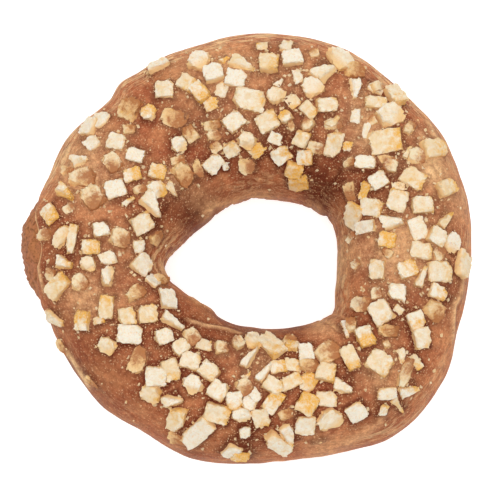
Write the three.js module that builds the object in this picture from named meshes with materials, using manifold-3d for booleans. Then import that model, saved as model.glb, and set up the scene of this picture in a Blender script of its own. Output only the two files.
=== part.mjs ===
// A ring doughnut lying flat: fried dough, a coat of milk caramel icing over its upper half,
// and chopped roasted nuts stuck in the icing. Millimetres, +Z up, +X to the right and +Y away
// from the viewer. The origin is the middle of the whole outline, on the surface it rests on.
import * as THREE from "three";
import { mergeVertices } from "three/addons/utils/BufferGeometryUtils.js";
import Module from "manifold-3d";

const wasm = await Module();
wasm.setup();

// The middle of the hole. Bearings are in degrees about it, anticlockwise from +X.
const HOLE_MIDDLE = { x: 1.4, y: -2.7 };
// Edges of the iced ring seen from above: bearing in degrees, distance from HOLE_MIDDLE.
const OUTER_EDGE = [
  [0, 44.6], [18, 45.8], [34, 46.8], [48, 46.6], [66, 47.7], [90, 47.1], [103, 46.2], [121, 45.8],
  [127, 45.9], [132, 44.4], [147, 45.8], [156, 45.5], [163, 46.4], [173, 48.9], [186, 47.4], [192, 45.5],
  [201, 43.3], [214, 42.9], [226, 42.6], [238, 41.5], [252, 42.1], [270, 41.4], [283, 41.8], [294, 42.9],
  [300, 44.0], [307, 45.7], [316, 46.2], [330, 45.7], [341, 44.2], [352, 44.4],
];
const HOLE_EDGE = [
  [0, 17.2], [22, 17.9], [31, 17.8], [37, 16.9], [50, 15.7], [68, 14.0], [90, 13.1], [115, 12.4],
  [140, 12.5], [157, 13.8], [168, 15.2], [182, 17.8], [190, 18.1], [203, 15.9], [214, 14.5], [225, 13.5],
  [250, 13.8], [272, 14.1], [292, 15.4], [315, 17.9], [327, 19.5], [340, 17.9],
];

// The section of the ring: a squared ellipse that is widest at the equator and cut flat below.
const EQUATOR_HEIGHT = 13.8;
const TOP_RISE = 13.2;
const BOTTOM_DROP = 15.2;
const SQUARENESS = 2.3;
// Slow rises and falls of the top: amplitude, waves in a turn, bearing of a crest.
const SWELLS = [[0.6, 2, 35], [0.4, 3, 80]];
// Pinches where the risen dough folds in towards the hole.
const FOLDS = [
  { middle: 50, halfWidth: 9, depth: 3.2 },
  { middle: 186, halfWidth: 7, depth: 1.4 },
  { middle: 325, halfWidth: 8, depth: 1.8 },
];

// The icing: how thick it is, and how far below the equator it runs on each side.
const ICING_THICKNESS = 1.35;
const ICING_CLEARANCE = 0.7;
const ICING_DRIP = { outside: 13, hole: 9 };
// Waves of the icing's lower edge: degrees of turn, waves round the ring, bearing of a crest.
const DRIP_WAVES = [[4.5, 4, 15], [3, 9, 40], [2, 17, 5]];
// The stretch on the left where the icing stops short and bares the crust.
const BARE_CRUST = { middle: 178, halfWidth: 17, turn: 62 };

// Facets round the ring, round the dough's section, and across the icing.
const RING_STEPS = 60;
const DOUGH_STEPS = 20;
const ICING_STEPS = 14;

// Chopped nuts: the least length, width and height of a drawn piece and how much more it may have,
// and how deep a foot sinks in the icing.
const NUT_SIZES = { long: [2.5, 1.1], wide: [2.0, 0.9], tall: [2.1, 1.1] };
const NUT_SINK = 0.8;
const NUT_COUNT = 174;
const NUT_TRIES = 9000;
const NUT_SPACING = 0.96;
const NUT_CORNER_JITTER = 0.13;
const NUT_SEED = 20413;
// The pieces that stand out: x and y of the middle, length, width, and turn in degrees. The cream
// ones come first, then the toasted ones, then those with a bit of film on them.
const LANDMARK_NUTS = [
  [-16.4, 30.2, 3.8, 3.8, 0], [-11.8, 31.4, 3.6, 3.2, -30], [-6.4, 33.2, 4, 3.8, 15],
  [-2, 32.2, 4.2, 3.8, -10], [4.6, 35.2, 3.8, 4, 0], [12.6, 25.6, 3.6, 2.6, -45],
  [-26.2, 19.4, 3.8, 3.4, -15], [-6.6, 15.4, 4, 3.2, 45], [-2.4, 23.4, 4, 3.6, 40],
  [4.4, 23.4, 4.4, 4, 30], [-3, 18.2, 3.2, 2.8, 35], [11.2, 20, 3.4, 3, 65], [24, 15, 4.2, 2.6, -5],
  [26.8, 11.4, 3.6, 3.2, 30], [37.4, 18.2, 5.8, 3.8, 20], [39.8, 10, 4.6, 3.2, 25],
  [-29.6, 24.4, 3.8, 3.8, 55], [-31.4, 22.8, 4, 3.2, 75], [-26.4, 9.6, 4.2, 3.6, 20],
  [-29.2, 1.2, 3.2, 2.8, 10], [-37.4, -10, 5.4, 3.4, 45], [-21.2, 2.8, 4.4, 3.8, 30],
  [-21.6, -5.6, 4, 4.4, -40], [25.4, 6, 4.8, 3.6, -15], [30.4, 7.2, 4.4, 4, 75], [35.2, 6.2, 4.4, 3.4, 5],
  [34.4, 1.4, 4.6, 3.6, -70], [35, -3, 4.4, 3.4, -10], [38, 0, 3.6, 3.4, -25], [38.6, -7, 5.4, 4.2, 5],
  [-23.2, -20, 5, 3.8, -5], [-16.4, -20.4, 3.4, 3, 20], [-13.2, -22.6, 3.4, 3, 40],
  [-17.8, -28.2, 4.2, 4, 0], [-15, -27, 4.4, 3.4, -70], [-11.2, -25.4, 4, 3.4, -15],
  [-7.4, -27.4, 4, 3.4, -35], [5.4, -30.2, 4, 3, -30], [-5.6, -31.2, 3.8, 3.6, -30],
  [20.8, -24.6, 5, 3, -65], [26.4, -25.6, 5, 4.4, -30], [22, -35, 4, 3.8, 30], [-5.8, -35.4, 5, 3.8, -15],
  [3, -36.2, 3.8, 3.4, -75], [-2.8, -42.2, 3.4, 4, -30], [27.2, -15.4, 4.8, 4.2, -60],
  [34.8, -20.4, 4.2, 3.4, -75], [-17.6, 35.4, 4.6, 2.2, 25], [9.2, 36.2, 4.2, 3.4, 10],
  [26, 27.2, 4.6, 2.6, -5], [29.8, 29, 4.8, 3.6, -65], [16, 26.6, 4.2, 2.8, 5],
  [-22.2, 16.6, 3.8, 2.8, -20], [28, 19.2, 6.8, 5, 10], [33.6, 11.8, 5.2, 3.8, -30],
  [-34.8, -0.6, 6, 1.8, 80], [22, 4.8, 5.4, 3.8, 65], [24.2, 2.2, 4.6, 2.6, 5], [26.6, -6.8, 4, 3.2, 85],
  [43, -5, 5.4, 3.8, 70], [-27.8, -14.6, 4.8, 3, 85], [-16, -12.8, 4.6, 3.6, -85],
  [-19.8, -16, 4, 3.6, 10], [-9.6, -38.8, 8, 3.8, 45], [5, -22, 6.6, 3.8, -55], [12, -23.6, 4.4, 3, -85],
  [9, -29.4, 4.6, 2.8, 25], [16, -27.6, 4, 3.6, -10], [28, -31.4, 4, 2.4, 5], [11.8, -37.6, 4.2, 4, 0],
  [-9.4, 36, 4.2, 4.2, -20], [6, 28.6, 3.6, 3.4, 45], [13.4, 30.4, 4.2, 4.2, 30],
  [19, 36.4, 5.6, 4.6, -70], [29, 24.8, 5.6, 4.8, 25], [-13.6, 19, 3.2, 3.2, 5],
  [0.2, 19.8, 3.8, 3.2, -40], [-36.8, 0, 5, 2.6, 60], [-31.6, -5.8, 3.2, 3, -10],
  [-27.8, -8.4, 4.4, 2.4, 85], [41.2, -0.8, 4.2, 4.2, -50], [-27.6, -22, 3.8, 3.2, -30],
  [-18.8, -31.4, 4, 3.8, -15], [-10.6, -29.8, 4, 3.4, -60], [1.4, -21, 4.6, 3.2, -80],
  [16.6, -36.4, 5, 4.2, 25], [-1, -35.6, 4, 2.8, -5], [0.8, 27.8, 6.6, 4.4, -15],
  [17.6, 19.2, 5.4, 3.4, 75], [-27.8, -4.4, 3.4, 2.8, 20], [-23.8, -16.4, 3.6, 3.4, 5],
  [-13.6, -36.2, 5.4, 3.4, 70], [16, -32.6, 4.4, 3.2, 0], [6.6, -41, 7, 3.4, -45],
  [30.2, -11.4, 3.8, 3.2, -15], [-0.6, 35.4, 5.4, 3, -15], [15.6, 34, 5.6, 4.2, 55],
  [22.2, 30.2, 4.2, 2.8, -75], [-33.4, 16.2, 3.4, 3.4, 30], [-18.8, 7, 5.6, 4, -35],
  [29.4, 3.2, 4.4, 3.4, 20], [34.8, -8.2, 4.4, 2, 80], [39.8, 3.8, 4.4, 2.4, 60],
  [-38, -15.6, 4.4, 3.4, 0], [-14.8, -17.4, 5, 2.4, -20], [-14.6, -32.6, 4, 2.8, 25],
  [0.6, -24.4, 5, 2.2, 65], [3.4, -27.6, 4.4, 2.2, 65], [19.4, -30, 3.8, 3.4, 0],
  [-9.2, 29.4, 4.2, 3, -50], [-23, 12.6, 3.6, 2.8, 20], [-17.8, 13.2, 3.4, 3, -15],
  [7.2, 17, 3.8, 3.4, 35], [11.8, 16.6, 3.2, 3.2, 0], [9.8, 14.6, 3.4, 3.2, -15],
  [10.6, 12.4, 4, 3.8, 10], [-39.2, 4.6, 4.2, 3, -55], [-31.2, -2.2, 3.6, 3, 0],
  [28.4, -0.8, 3.6, 3.2, -5], [32.4, -6.8, 3.8, 3.4, 20], [-32.4, -16.8, 4, 3, 85],
  [-2.4, -33, 3.6, 3.2, -80], [5.4, -33.2, 4.8, 3, 55], [12.2, -33.6, 4.4, 4, 60],
  [-1.2, -42.8, 3.6, 2.4, -20], [23.8, -20.6, 4.4, 3.4, -65], [33.8, -17, 3.6, 3.4, -65],
  [38, -11.2, 3.8, 2.8, -15], [-19.6, 25.4, 3.4, 3, 80], [-18.2, 9.8, 4.2, 3.6, 10],
  [12.4, -29.4, 4.2, 3.4, 60], [-35.8, 9, 4.2, 2.6, -25], [-36.2, -5.2, 3.4, 3, 0],
  [32.2, -30.4, 4.2, 3, 30], [8.6, -39.4, 5.2, 3, -55], [-23.4, 26.4, 5, 4.4, 65],
  [21.8, 34.2, 4.2, 3.2, 0], [-12.8, 13, 5, 3.6, -50], [-26.8, 15.2, 4.2, 3.4, -60],
  [34.2, 16.4, 3.8, 3.4, -5], [-32.8, 12.2, 5.4, 3.8, -5], [-30.8, 8, 5, 4.2, -55],
  [-25.4, -0.2, 4.2, 3.8, -20], [-33.2, -9.4, 3.6, 3.4, 0], [-22.2, -11.8, 4.2, 2.6, 30],
  [-11, -20.4, 3.6, 3.2, -60], [12.6, -26.2, 4, 2.6, -10], [-0.4, -30.4, 3.6, 3, -60],
  [31.6, -27.4, 6.4, 2.4, 70], [16.4, -23.6, 5.2, 4.4, 30], [23.4, -13.4, 4.6, 2.8, -5],
  [28.6, -19, 4, 2.4, -10], [37.6, -14.8, 4.6, 3.8, -40], [-14.4, 24.2, 5.4, 3.6, -15],
  [0.2, 15.2, 3.6, 3.4, 5], [-36.8, -21.2, 3.8, 2.2, -50], [-21.4, -25.2, 5.4, 3.2, 65],
  [-13.8, -39.8, 3.6, 3, -25],
];
// Where nuts lie, by sectors of bearing: from the hole's side, -1, to the outside, 1, and how thickly.
const NUT_SECTORS = [
  { from: -22, hole: -0.8, outside: 0.82, share: 0.95 },
  { from: 22, hole: -0.5, outside: 0.74, share: 0.95 },
  { from: 67, hole: -0.76, outside: 0.7, share: 1.0 },
  { from: 112, hole: -0.5, outside: 0.74, share: 0.75 },
  { from: 157, hole: -0.82, outside: 0.6, share: 0.62 },
  { from: 202, hole: -0.66, outside: 0.42, share: 0.55 },
  { from: 247, hole: -0.8, outside: 0.84, share: 1.0 },
  { from: 292, hole: -0.78, outside: 0.66, share: 0.75 },
];

const radians = (degrees) => (degrees * Math.PI) / 180;
const wrap = (degrees) => ((degrees % 360) + 360) % 360;
const signedPower = (value, power) => Math.sign(value) * Math.abs(value) ** power;

// A bell curve of bearing about a fold or a bare stretch.
function bell(bearing, { middle, halfWidth }) {
  const away = wrap(bearing - middle + 180) - 180;
  return Math.exp(-((away / halfWidth) ** 2));
}

// Waves round the ring: the sum of amplitude times cosine.
function waves(list, bearing) {
  const wave = ([size, count, crest]) => size * Math.cos(radians(count * (bearing - crest)));
  return list.reduce((sum, item) => sum + wave(item), 0);
}

// The distance of an edge at a bearing: a smooth closed curve through the edge's points, whose
// slope at each point is that of the line between its neighbours.
function edgeRadius(edge, bearing) {
  const at = wrap(bearing);
  const count = edge.length;
  const point = (i) => {
    const turns = Math.floor(i / count);
    const [angle, radius] = edge[i - turns * count];
    return [angle + 360 * turns, radius];
  };
  let k = count - 1;
  while (k > 0 && point(k)[0] > at) k -= 1;
  const [before, start, end, after] = [point(k - 1), point(k), point(k + 1), point(k + 2)];
  const span = end[0] - start[0];
  const t = (at - start[0]) / span;
  const leave = (span * (end[1] - before[1])) / (end[0] - before[0]);
  const arrive = (span * (after[1] - start[1])) / (after[0] - start[0]);
  return (
    start[1] * (2 * t ** 3 - 3 * t ** 2 + 1) +
    leave * (t ** 3 - 2 * t ** 2 + t) +
    end[1] * (3 * t ** 2 - 2 * t ** 3) +
    arrive * (t ** 3 - t ** 2)
  );
}

// The ring's section at a bearing, for a surface that lies a given depth inside the iced outline.
function sectionAt(bearing, inset) {
  const outside = edgeRadius(OUTER_EDGE, bearing) - inset;
  const hole = edgeRadius(HOLE_EDGE, bearing) + inset;
  return { middle: (outside + hole) / 2, halfWidth: (outside - hole) / 2 };
}

// How far the top stands over the equator, where across runs from -1 at the hole to 1 outside.
function riseAt(bearing, across) {
  const holeSide = (1 - across) / 2;
  const folded = FOLDS.reduce((sum, fold) => sum + fold.depth * bell(bearing, fold), 0);
  return TOP_RISE + waves(SWELLS, bearing) - folded * holeSide;
}

// A point of the ring: turn is 0 at the outside equator, 90 on top and 180 at the hole.
function ringPoint(bearing, turn, inset) {
  const { middle, halfWidth } = sectionAt(bearing, inset);
  const across = signedPower(Math.cos(radians(turn)), 2 / SQUARENESS);
  const up = signedPower(Math.sin(radians(turn)), 2 / SQUARENESS);
  const radius = middle + halfWidth * across;
  const coat = ICING_CLEARANCE + ICING_THICKNESS - inset;
  const reach = (up > 0 ? riseAt(bearing, across) : BOTTOM_DROP) + coat;
  return new THREE.Vector3(
    HOLE_MIDDLE.x + radius * Math.cos(radians(bearing)),
    HOLE_MIDDLE.y + radius * Math.sin(radians(bearing)),
    Math.max(EQUATOR_HEIGHT + reach * up, 0),
  );
}

// The icing's lower edge on each side, as a turn of the section.
function icingEdge(bearing) {
  const wobble = waves(DRIP_WAVES, bearing);
  const bare = BARE_CRUST.turn * bell(bearing, BARE_CRUST);
  return { outside: -ICING_DRIP.outside + wobble + bare, hole: 180 + ICING_DRIP.hole - wobble };
}

// A closed surface from rings of points: each row goes round the ring, and the rows join in a loop.
function loftedRing(rows) {
  const columns = rows[0].length;
  const positions = rows.flat().flatMap((p) => [p.x, p.y, p.z]);
  const index = [];
  rows.forEach((_, row) => {
    const next = (row + 1) % rows.length;
    for (let i = 0; i < columns; i += 1) {
      const j = (i + 1) % columns;
      const [a, b] = [row * columns + i, row * columns + j];
      const [c, d] = [next * columns + j, next * columns + i];
      index.push(a, b, c, a, c, d);
    }
  });
  const geometry = new THREE.BufferGeometry();
  geometry.setAttribute("position", new THREE.Float32BufferAttribute(positions, 3));
  geometry.setIndex(index);
  return geometry;
}

const bearings = Array.from({ length: RING_STEPS }, (_, i) => (360 * i) / RING_STEPS);

// The fried dough: a closed ring that rests on a flat band.
function doughGeometry() {
  const inset = ICING_CLEARANCE + ICING_THICKNESS;
  const turns = Array.from({ length: DOUGH_STEPS }, (_, i) => (360 * i) / DOUGH_STEPS);
  return loftedRing(turns.map((turn) => bearings.map((bearing) => ringPoint(bearing, turn, inset))));
}

// The bare icing: a skin over the top, its outer face followed back along its inner face.
function icingGeometry() {
  const row = (share, inset) =>
    bearings.map((bearing) => {
      const edge = icingEdge(bearing);
      return ringPoint(bearing, edge.outside + (edge.hole - edge.outside) * share, inset);
    });
  const shares = Array.from({ length: ICING_STEPS + 1 }, (_, i) => i / ICING_STEPS);
  const face = shares.map((share) => row(share, 0));
  const back = shares.map((share) => row(share, ICING_THICKNESS)).reverse();
  return loftedRing([...face, ...back]);
}

// Even draws from 0 to 1, the same ones each run.
function makeDraw(seed) {
  let state = seed;
  return () => {
    state = (Math.imul(state, 1664525) + 1013904223) >>> 0;
    return state / 2 ** 32;
  };
}

// Where a place seen from above lies on the ring.
function placeOnRing(x, y) {
  const bearing = wrap((Math.atan2(y - HOLE_MIDDLE.y, x - HOLE_MIDDLE.x) * 180) / Math.PI);
  const { middle, halfWidth } = sectionAt(bearing, 0);
  const across = (Math.hypot(x - HOLE_MIDDLE.x, y - HOLE_MIDDLE.y) - middle) / halfWidth;
  return { bearing, across };
}

// The height of the icing's face over a place seen from above.
function icingHeight(x, y) {
  const { bearing, across } = placeOnRing(x, y);
  const up = (1 - Math.min(Math.abs(across), 0.999) ** SQUARENESS) ** (1 / SQUARENESS);
  return EQUATOR_HEIGHT + (riseAt(bearing, across) + ICING_CLEARANCE + ICING_THICKNESS) * up;
}

// The way the icing's face looks there, from the rise over a short step on each side.
function icingNormal(x, y) {
  const step = 0.5;
  const slopeX = (icingHeight(x + step, y) - icingHeight(x - step, y)) / (2 * step);
  const slopeY = (icingHeight(x, y + step) - icingHeight(x, y - step)) / (2 * step);
  return new THREE.Vector3(-slopeX, -slopeY, 1).normalize();
}

// The sector of the ring that a bearing falls in.
function sectorAt(bearing) {
  const from = NUT_SECTORS[0].from;
  return NUT_SECTORS.findLast((sector) => sector.from <= wrap(bearing - from) + from);
}

// The nuts in order: the landmarks first, then drawn ones wherever there is room for them.
function sprinkledNuts() {
  const draw = makeDraw(NUT_SEED);
  const sized = ([least, spread]) => least + spread * draw();
  const nuts = LANDMARK_NUTS.map(([x, y, long, wide, turn]) => {
    return { x, y, long, wide, turn, tall: sized(NUT_SIZES.tall) };
  });
  const reach = Math.max(...OUTER_EDGE.map(([, radius]) => radius));
  for (let tries = 0; tries < NUT_TRIES && nuts.length < NUT_COUNT; tries += 1) {
    const nut = {
      x: HOLE_MIDDLE.x + reach * (2 * draw() - 1),
      y: HOLE_MIDDLE.y + reach * (2 * draw() - 1),
      long: sized(NUT_SIZES.long),
      wide: sized(NUT_SIZES.wide),
      tall: sized(NUT_SIZES.tall),
      turn: 180 * draw(),
    };
    const luck = draw();
    const { bearing, across } = placeOnRing(nut.x, nut.y);
    const sector = sectorAt(bearing);
    const inside = across > sector.hole && across < sector.outside;
    const clear = nuts.every((other) => {
      const apart = Math.hypot(nut.x - other.x, nut.y - other.y);
      return apart > (NUT_SPACING * (nut.long + nut.wide + other.long + other.wide)) / 4;
    });
    if (inside && luck < sector.share && clear) nuts.push(nut);
  }
  return nuts;
}

// One chopped piece: a block with uneven corners, its foot sunk in the icing and square to it.
function nutGeometry(nut, draw) {
  const { x, y, long, wide, tall, turn } = nut;
  const geometry = new THREE.BoxGeometry(long, wide, tall);
  geometry.deleteAttribute("normal");
  geometry.deleteAttribute("uv");
  const block = mergeVertices(geometry);
  const corners = block.getAttribute("position");
  for (let i = 0; i < corners.count; i += 1) {
    const shift = () => 1 + NUT_CORNER_JITTER * (2 * draw() - 1);
    corners.setXYZ(i, corners.getX(i) * shift(), corners.getY(i) * shift(), corners.getZ(i) * shift());
  }
  const normal = icingNormal(x, y);
  const upright = new THREE.Quaternion().setFromUnitVectors(new THREE.Vector3(0, 0, 1), normal);
  const middle = new THREE.Vector3(x, y, icingHeight(x, y)).addScaledVector(normal, tall / 2 - NUT_SINK);
  block.applyMatrix4(new THREE.Matrix4().makeRotationZ(radians(turn)));
  block.applyMatrix4(new THREE.Matrix4().compose(middle, upright, new THREE.Vector3(1, 1, 1)));
  return block;
}

// A closed indexed geometry as a solid that can be joined to others.
function solidFrom(geometry) {
  const vertProperties = new Float32Array(geometry.getAttribute("position").array);
  const triVerts = new Uint32Array(geometry.index.array);
  return new wasm.Manifold(new wasm.Mesh({ numProp: 3, vertProperties, triVerts }));
}

// A solid back as a geometry.
function geometryFrom(solid) {
  const mesh = solid.getMesh();
  const geometry = new THREE.BufferGeometry();
  geometry.setAttribute("position", new THREE.BufferAttribute(mesh.vertProperties, 3));
  geometry.setIndex(new THREE.BufferAttribute(mesh.triVerts, 1));
  return geometry;
}

// The icing with every nut fused to it.
function toppedIcingGeometry() {
  const draw = makeDraw(NUT_SEED + 1);
  const nuts = sprinkledNuts().map((nut) => solidFrom(nutGeometry(nut, draw)));
  return geometryFrom(nuts.reduce((joined, nut) => joined.add(nut), solidFrom(icingGeometry())));
}

// A sub-part: its name, shape, colour and how rough it looks.
function namedMesh(name, geometry, colour, roughness) {
  const material = new THREE.MeshStandardMaterial({ color: colour, roughness, metalness: 0 });
  material.flatShading = true;
  const mesh = new THREE.Mesh(geometry, material);
  mesh.name = name;
  return mesh;
}

const doughnut = new THREE.Group();
doughnut.add(namedMesh("dough", doughGeometry(), "#a86b3c", 0.75));
doughnut.add(namedMesh("icing", toppedIcingGeometry(), "#a66b4b", 0.45));

export default doughnut;
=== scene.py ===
"""Dresses a fried ring doughnut with milk caramel icing and chopped roasted nuts, in a small studio."""

import logging
import math
from dataclasses import astuple, dataclass, field, replace
from enum import Enum

import bmesh
import bpy
import numpy as np
from bpy.types import Collection, Material, Mesh, Node, NodeSocket, NodeTree, Object
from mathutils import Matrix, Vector
from mathutils.bvhtree import BVHTree


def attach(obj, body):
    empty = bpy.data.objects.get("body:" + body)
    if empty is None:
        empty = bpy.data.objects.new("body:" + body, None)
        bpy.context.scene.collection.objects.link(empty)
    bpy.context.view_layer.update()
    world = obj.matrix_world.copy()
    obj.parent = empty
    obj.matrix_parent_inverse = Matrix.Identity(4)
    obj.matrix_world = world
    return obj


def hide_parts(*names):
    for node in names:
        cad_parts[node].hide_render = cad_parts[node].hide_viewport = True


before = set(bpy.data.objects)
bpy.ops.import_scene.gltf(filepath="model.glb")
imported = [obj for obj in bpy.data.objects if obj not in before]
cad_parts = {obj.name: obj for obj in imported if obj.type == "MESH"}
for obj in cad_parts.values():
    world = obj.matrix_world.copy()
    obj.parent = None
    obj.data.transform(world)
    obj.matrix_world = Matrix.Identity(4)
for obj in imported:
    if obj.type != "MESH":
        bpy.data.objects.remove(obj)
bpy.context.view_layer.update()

LOG = logging.getLogger("doughnut")
MM = 0.001
# A count to a square centimetre, times this, is the count to a square metre.
PER_CM2 = 1.0e4

MATH = "ShaderNodeMath"
MIX = "ShaderNodeMix"
NOISE = "ShaderNodeTexNoise"
MAP_RANGE = "ShaderNodeMapRange"
ATTRIBUTE = "GeometryNodeInputNamedAttribute"
COLOUR = {"data_type": "RGBA"}
SHADE = {"data_type": "RGBA", "blend_type": "MULTIPLY"}

Array = np.ndarray
Pair = tuple[float, float]
Place = tuple[float, float, float]
Weights = tuple[float, float, float]
Curve = tuple[Pair, ...]


def linear(hex_colour: str) -> tuple[float, ...]:
    """Turns an sRGB hex colour to linear light.

    Args:
        hex_colour: a colour such as "#A66B4B".

    Returns:
        Red, green, blue and an alpha of 1.
    """
    values = [int(hex_colour[i:i + 2], 16) / 255.0 for i in (1, 3, 5)]
    light = [v / 12.92 if v <= 0.04045 else ((v + 0.055) / 1.055) ** 2.4 for v in values]
    return (*light, 1.0)


def rows_of(kind: type, *rows: tuple) -> tuple:
    """Makes one thing of a kind from each row of its values.

    Args:
        kind: the class.
        *rows: each one's values, in the order of its fields.

    Returns:
        The things, in the order of the rows.
    """
    return tuple(kind(*row) for row in rows)


def show(name: str, data: bpy.types.ID) -> Object:
    """Puts a mesh, a light or a camera in the scene.

    Args:
        name: the object's name.
        data: what the object shows.

    Returns:
        The object.
    """
    thing = bpy.data.objects.new(name, data)
    bpy.context.scene.collection.objects.link(thing)
    return thing


def read_rows(items: bpy.types.bpy_prop_collection, key: str, width: int) -> Array:
    """Reads what each of a mesh's points holds under a key.

    Args:
        items: the points, or an attribute's values on them.
        key: the name of what is read.
        width: how many numbers each point has there.

    Returns:
        A row of numbers for each point.
    """
    flat = np.empty(len(items) * width, dtype=np.float32)
    items.foreach_get(key, flat)
    return flat.reshape(-1, width).astype(float)


def read_points(mesh: Mesh) -> Array:
    """Reads where a mesh's points are.

    Args:
        mesh: the mesh.

    Returns:
        Rows of x, y and z in metres.
    """
    return read_rows(mesh.vertices, "co", 3)


def read_normals(mesh: Mesh) -> Array:
    """Reads the way that a mesh's points face.

    Args:
        mesh: the mesh.

    Returns:
        A row for each point's normal.
    """
    return read_rows(mesh.vertex_normals, "vector", 3)


def read_number(mesh: Mesh, name: str) -> Array:
    """Reads a number that a mesh's points carry.

    Args:
        mesh: the mesh.
        name: the number's name.

    Returns:
        The number for each point.
    """
    return read_rows(mesh.attributes[name].data, "value", 1)[:, 0]


def write_number(mesh: Mesh, name: str, values: Array) -> None:
    """Gives each of a mesh's points a number.

    Args:
        mesh: the mesh.
        name: the number's name.
        values: the number for each point.
    """
    layer = mesh.attributes.new(name, "FLOAT", "POINT")
    layer.data.foreach_set("value", np.ascontiguousarray(values, dtype=np.float32).ravel())


def write_vector(mesh: Mesh, name: str, values: Array) -> None:
    """Gives each of a mesh's points a vector.

    Args:
        mesh: the mesh.
        name: the vector's name.
        values: the vector for each point, as rows.
    """
    layer = mesh.attributes.new(name, "FLOAT_VECTOR", "POINT")
    layer.data.foreach_set("vector", np.ascontiguousarray(values, dtype=np.float32).ravel())


def move_points(mesh: Mesh, points: Array) -> None:
    """Puts a mesh's points in new places.

    Args:
        mesh: the mesh.
        points: rows of x, y and z in metres.
    """
    mesh.vertices.foreach_set("co", np.ascontiguousarray(points, dtype=np.float32).ravel())
    mesh.update()


@dataclass(frozen=True)
class Span:
    """A stretch of a value, and the stretch that a Map Range node spreads it to."""

    start: float
    end: float
    least: float = 0.0
    most: float = 1.0

    def inputs(self) -> dict[int, float]:
        """Gives the node's inputs after the value, by their numbers."""
        return dict(enumerate(astuple(self), start=1))


@dataclass(frozen=True)
class Grain:
    """A material's noise: the size of its marks in millimetres, and how fine, rough and warped they are."""

    size: float
    detail: float
    roughness: float
    warp: float = 0.0

    def inputs(self) -> dict[str, float]:
        """Gives the noise node's inputs besides the place."""
        numbers = (1 / (self.size * MM), self.detail, self.roughness, self.warp)
        return dict(zip(("Scale", "Detail", "Roughness", "Distortion"), numbers))


class Nodes:
    """A node tree, and the way to add nodes to it."""

    def __init__(self, tree: NodeTree) -> None:
        """Takes the tree that the nodes join."""
        self.tree = tree

    def feed(self, target: NodeSocket, value: object) -> None:
        """Gives an input its value or its link.

        Args:
            target: the input.
            value: a value, an sRGB hex colour, a socket, or a node whose first output in use is meant.
        """
        if isinstance(value, Node):
            value = next(socket for socket in value.outputs if socket.enabled)
        if isinstance(value, NodeSocket):
            self.tree.links.new(value, target)
        elif isinstance(value, str) and value.startswith("#"):
            target.default_value = linear(value)
        else:
            target.default_value = value

    def add(self, kind: str, inputs: dict | None = None, **settings: object) -> Node:
        """Adds a node with its settings, values and links.

        Args:
            kind: the node's type.
            inputs: an input's number, or its name among those in use, to what feeds it.
            **settings: properties of the node, such as operation.

        Returns:
            The new node.
        """
        node = self.tree.nodes.new(kind)
        for name, value in settings.items():
            setattr(node, name, value)
        for key, value in (inputs or {}).items():
            named = (socket for socket in node.inputs if socket.enabled and socket.name == key)
            self.feed(node.inputs[key] if isinstance(key, int) else next(named), value)
        return node


class ShapeTree(Nodes):
    """A Geometry Nodes tree with named inputs, which a modifier runs once."""

    number_sockets = {float: "NodeSocketFloat", int: "NodeSocketInt"}

    def __init__(self, name: str, inputs: dict[str, object]) -> None:
        """Makes the tree with its inputs and one geometry output.

        Args:
            name: the tree's name.
            inputs: each input besides the geometry, with its default number, or else its socket's type.
        """
        super().__init__(bpy.data.node_groups.new(name, "GeometryNodeTree"))
        face = self.tree.interface
        for way in ("OUTPUT", "INPUT"):
            face.new_socket("Geometry", in_out=way, socket_type="NodeSocketGeometry")
        for label, value in inputs.items():
            kind = self.number_sockets.get(type(value), value)
            made = face.new_socket(label, in_out="INPUT", socket_type=kind)
            if kind is not value:
                made.default_value = value
        self.given = self.add("NodeGroupInput").outputs

    def finish(self, geometry: Node) -> None:
        """Ends the tree: realizes the instances and sets the material.

        Args:
            geometry: the node that holds the finished shape.
        """
        real = self.add("GeometryNodeRealizeInstances", {"Geometry": geometry})
        dressed = self.add("GeometryNodeSetMaterial", {"Geometry": real, "Material": self.given["Material"]})
        self.add("NodeGroupOutput", {"Geometry": dressed})

    def run(self, base: Mesh, name: str, values: dict[str, object]) -> Object:
        """Runs the tree on a mesh and keeps what comes out as a plain mesh.

        Args:
            base: the mesh that goes in.
            name: the finished piece's name.
            values: input name to value, for the inputs that differ from their defaults.

        Returns:
            The finished piece, with no modifier.
        """
        carrier = show(name + "_base", base)
        modifier = carrier.modifiers.new("shape", "NODES")
        modifier.node_group = self.tree
        items = self.tree.interface.items_tree
        sockets = {item.name: item.identifier for item in items if item.in_out == "INPUT"}
        for key, value in values.items():
            modifier[sockets[key]] = value
        graph = bpy.context.evaluated_depsgraph_get()
        shaped = bpy.data.meshes.new_from_object(carrier.evaluated_get(graph), depsgraph=graph)
        shaped.name = name
        carrier.modifiers.remove(modifier)
        bpy.data.objects.remove(carrier)
        return show(name, shaped)


class Paint(Nodes):
    """A material's node tree, with the shader that it ends in."""

    def __init__(self, name: str) -> None:
        """Makes the material.

        Args:
            name: what the real material is.
        """
        self.material = bpy.data.materials.new(name)
        self.material.use_nodes = True
        super().__init__(self.material.node_tree)

    def finish(self, **inputs: object) -> Material:
        """Feeds the shader's inputs.

        Args:
            **inputs: each one's name, with underscores for its spaces, to what feeds it.

        Returns:
            The finished material.
        """
        shader = self.tree.nodes["Principled BSDF"]
        for name, value in inputs.items():
            self.feed(shader.inputs[name.replace("_", " ")], value)
        return self.material


class Draw:
    """Even draws from 0 to 1, the same ones each run and the same as the solids' own."""

    def __init__(self, seed: int) -> None:
        """Starts the row of draws."""
        self.state = seed

    def next(self) -> float:
        """Gives the next draw."""
        self.state = (self.state * 1664525 + 1013904223) % 2**32
        return self.state / 2**32

    def between(self, least: float, spread: float) -> float:
        """Gives a draw from least to least plus spread."""
        return least + spread * self.next()


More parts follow.
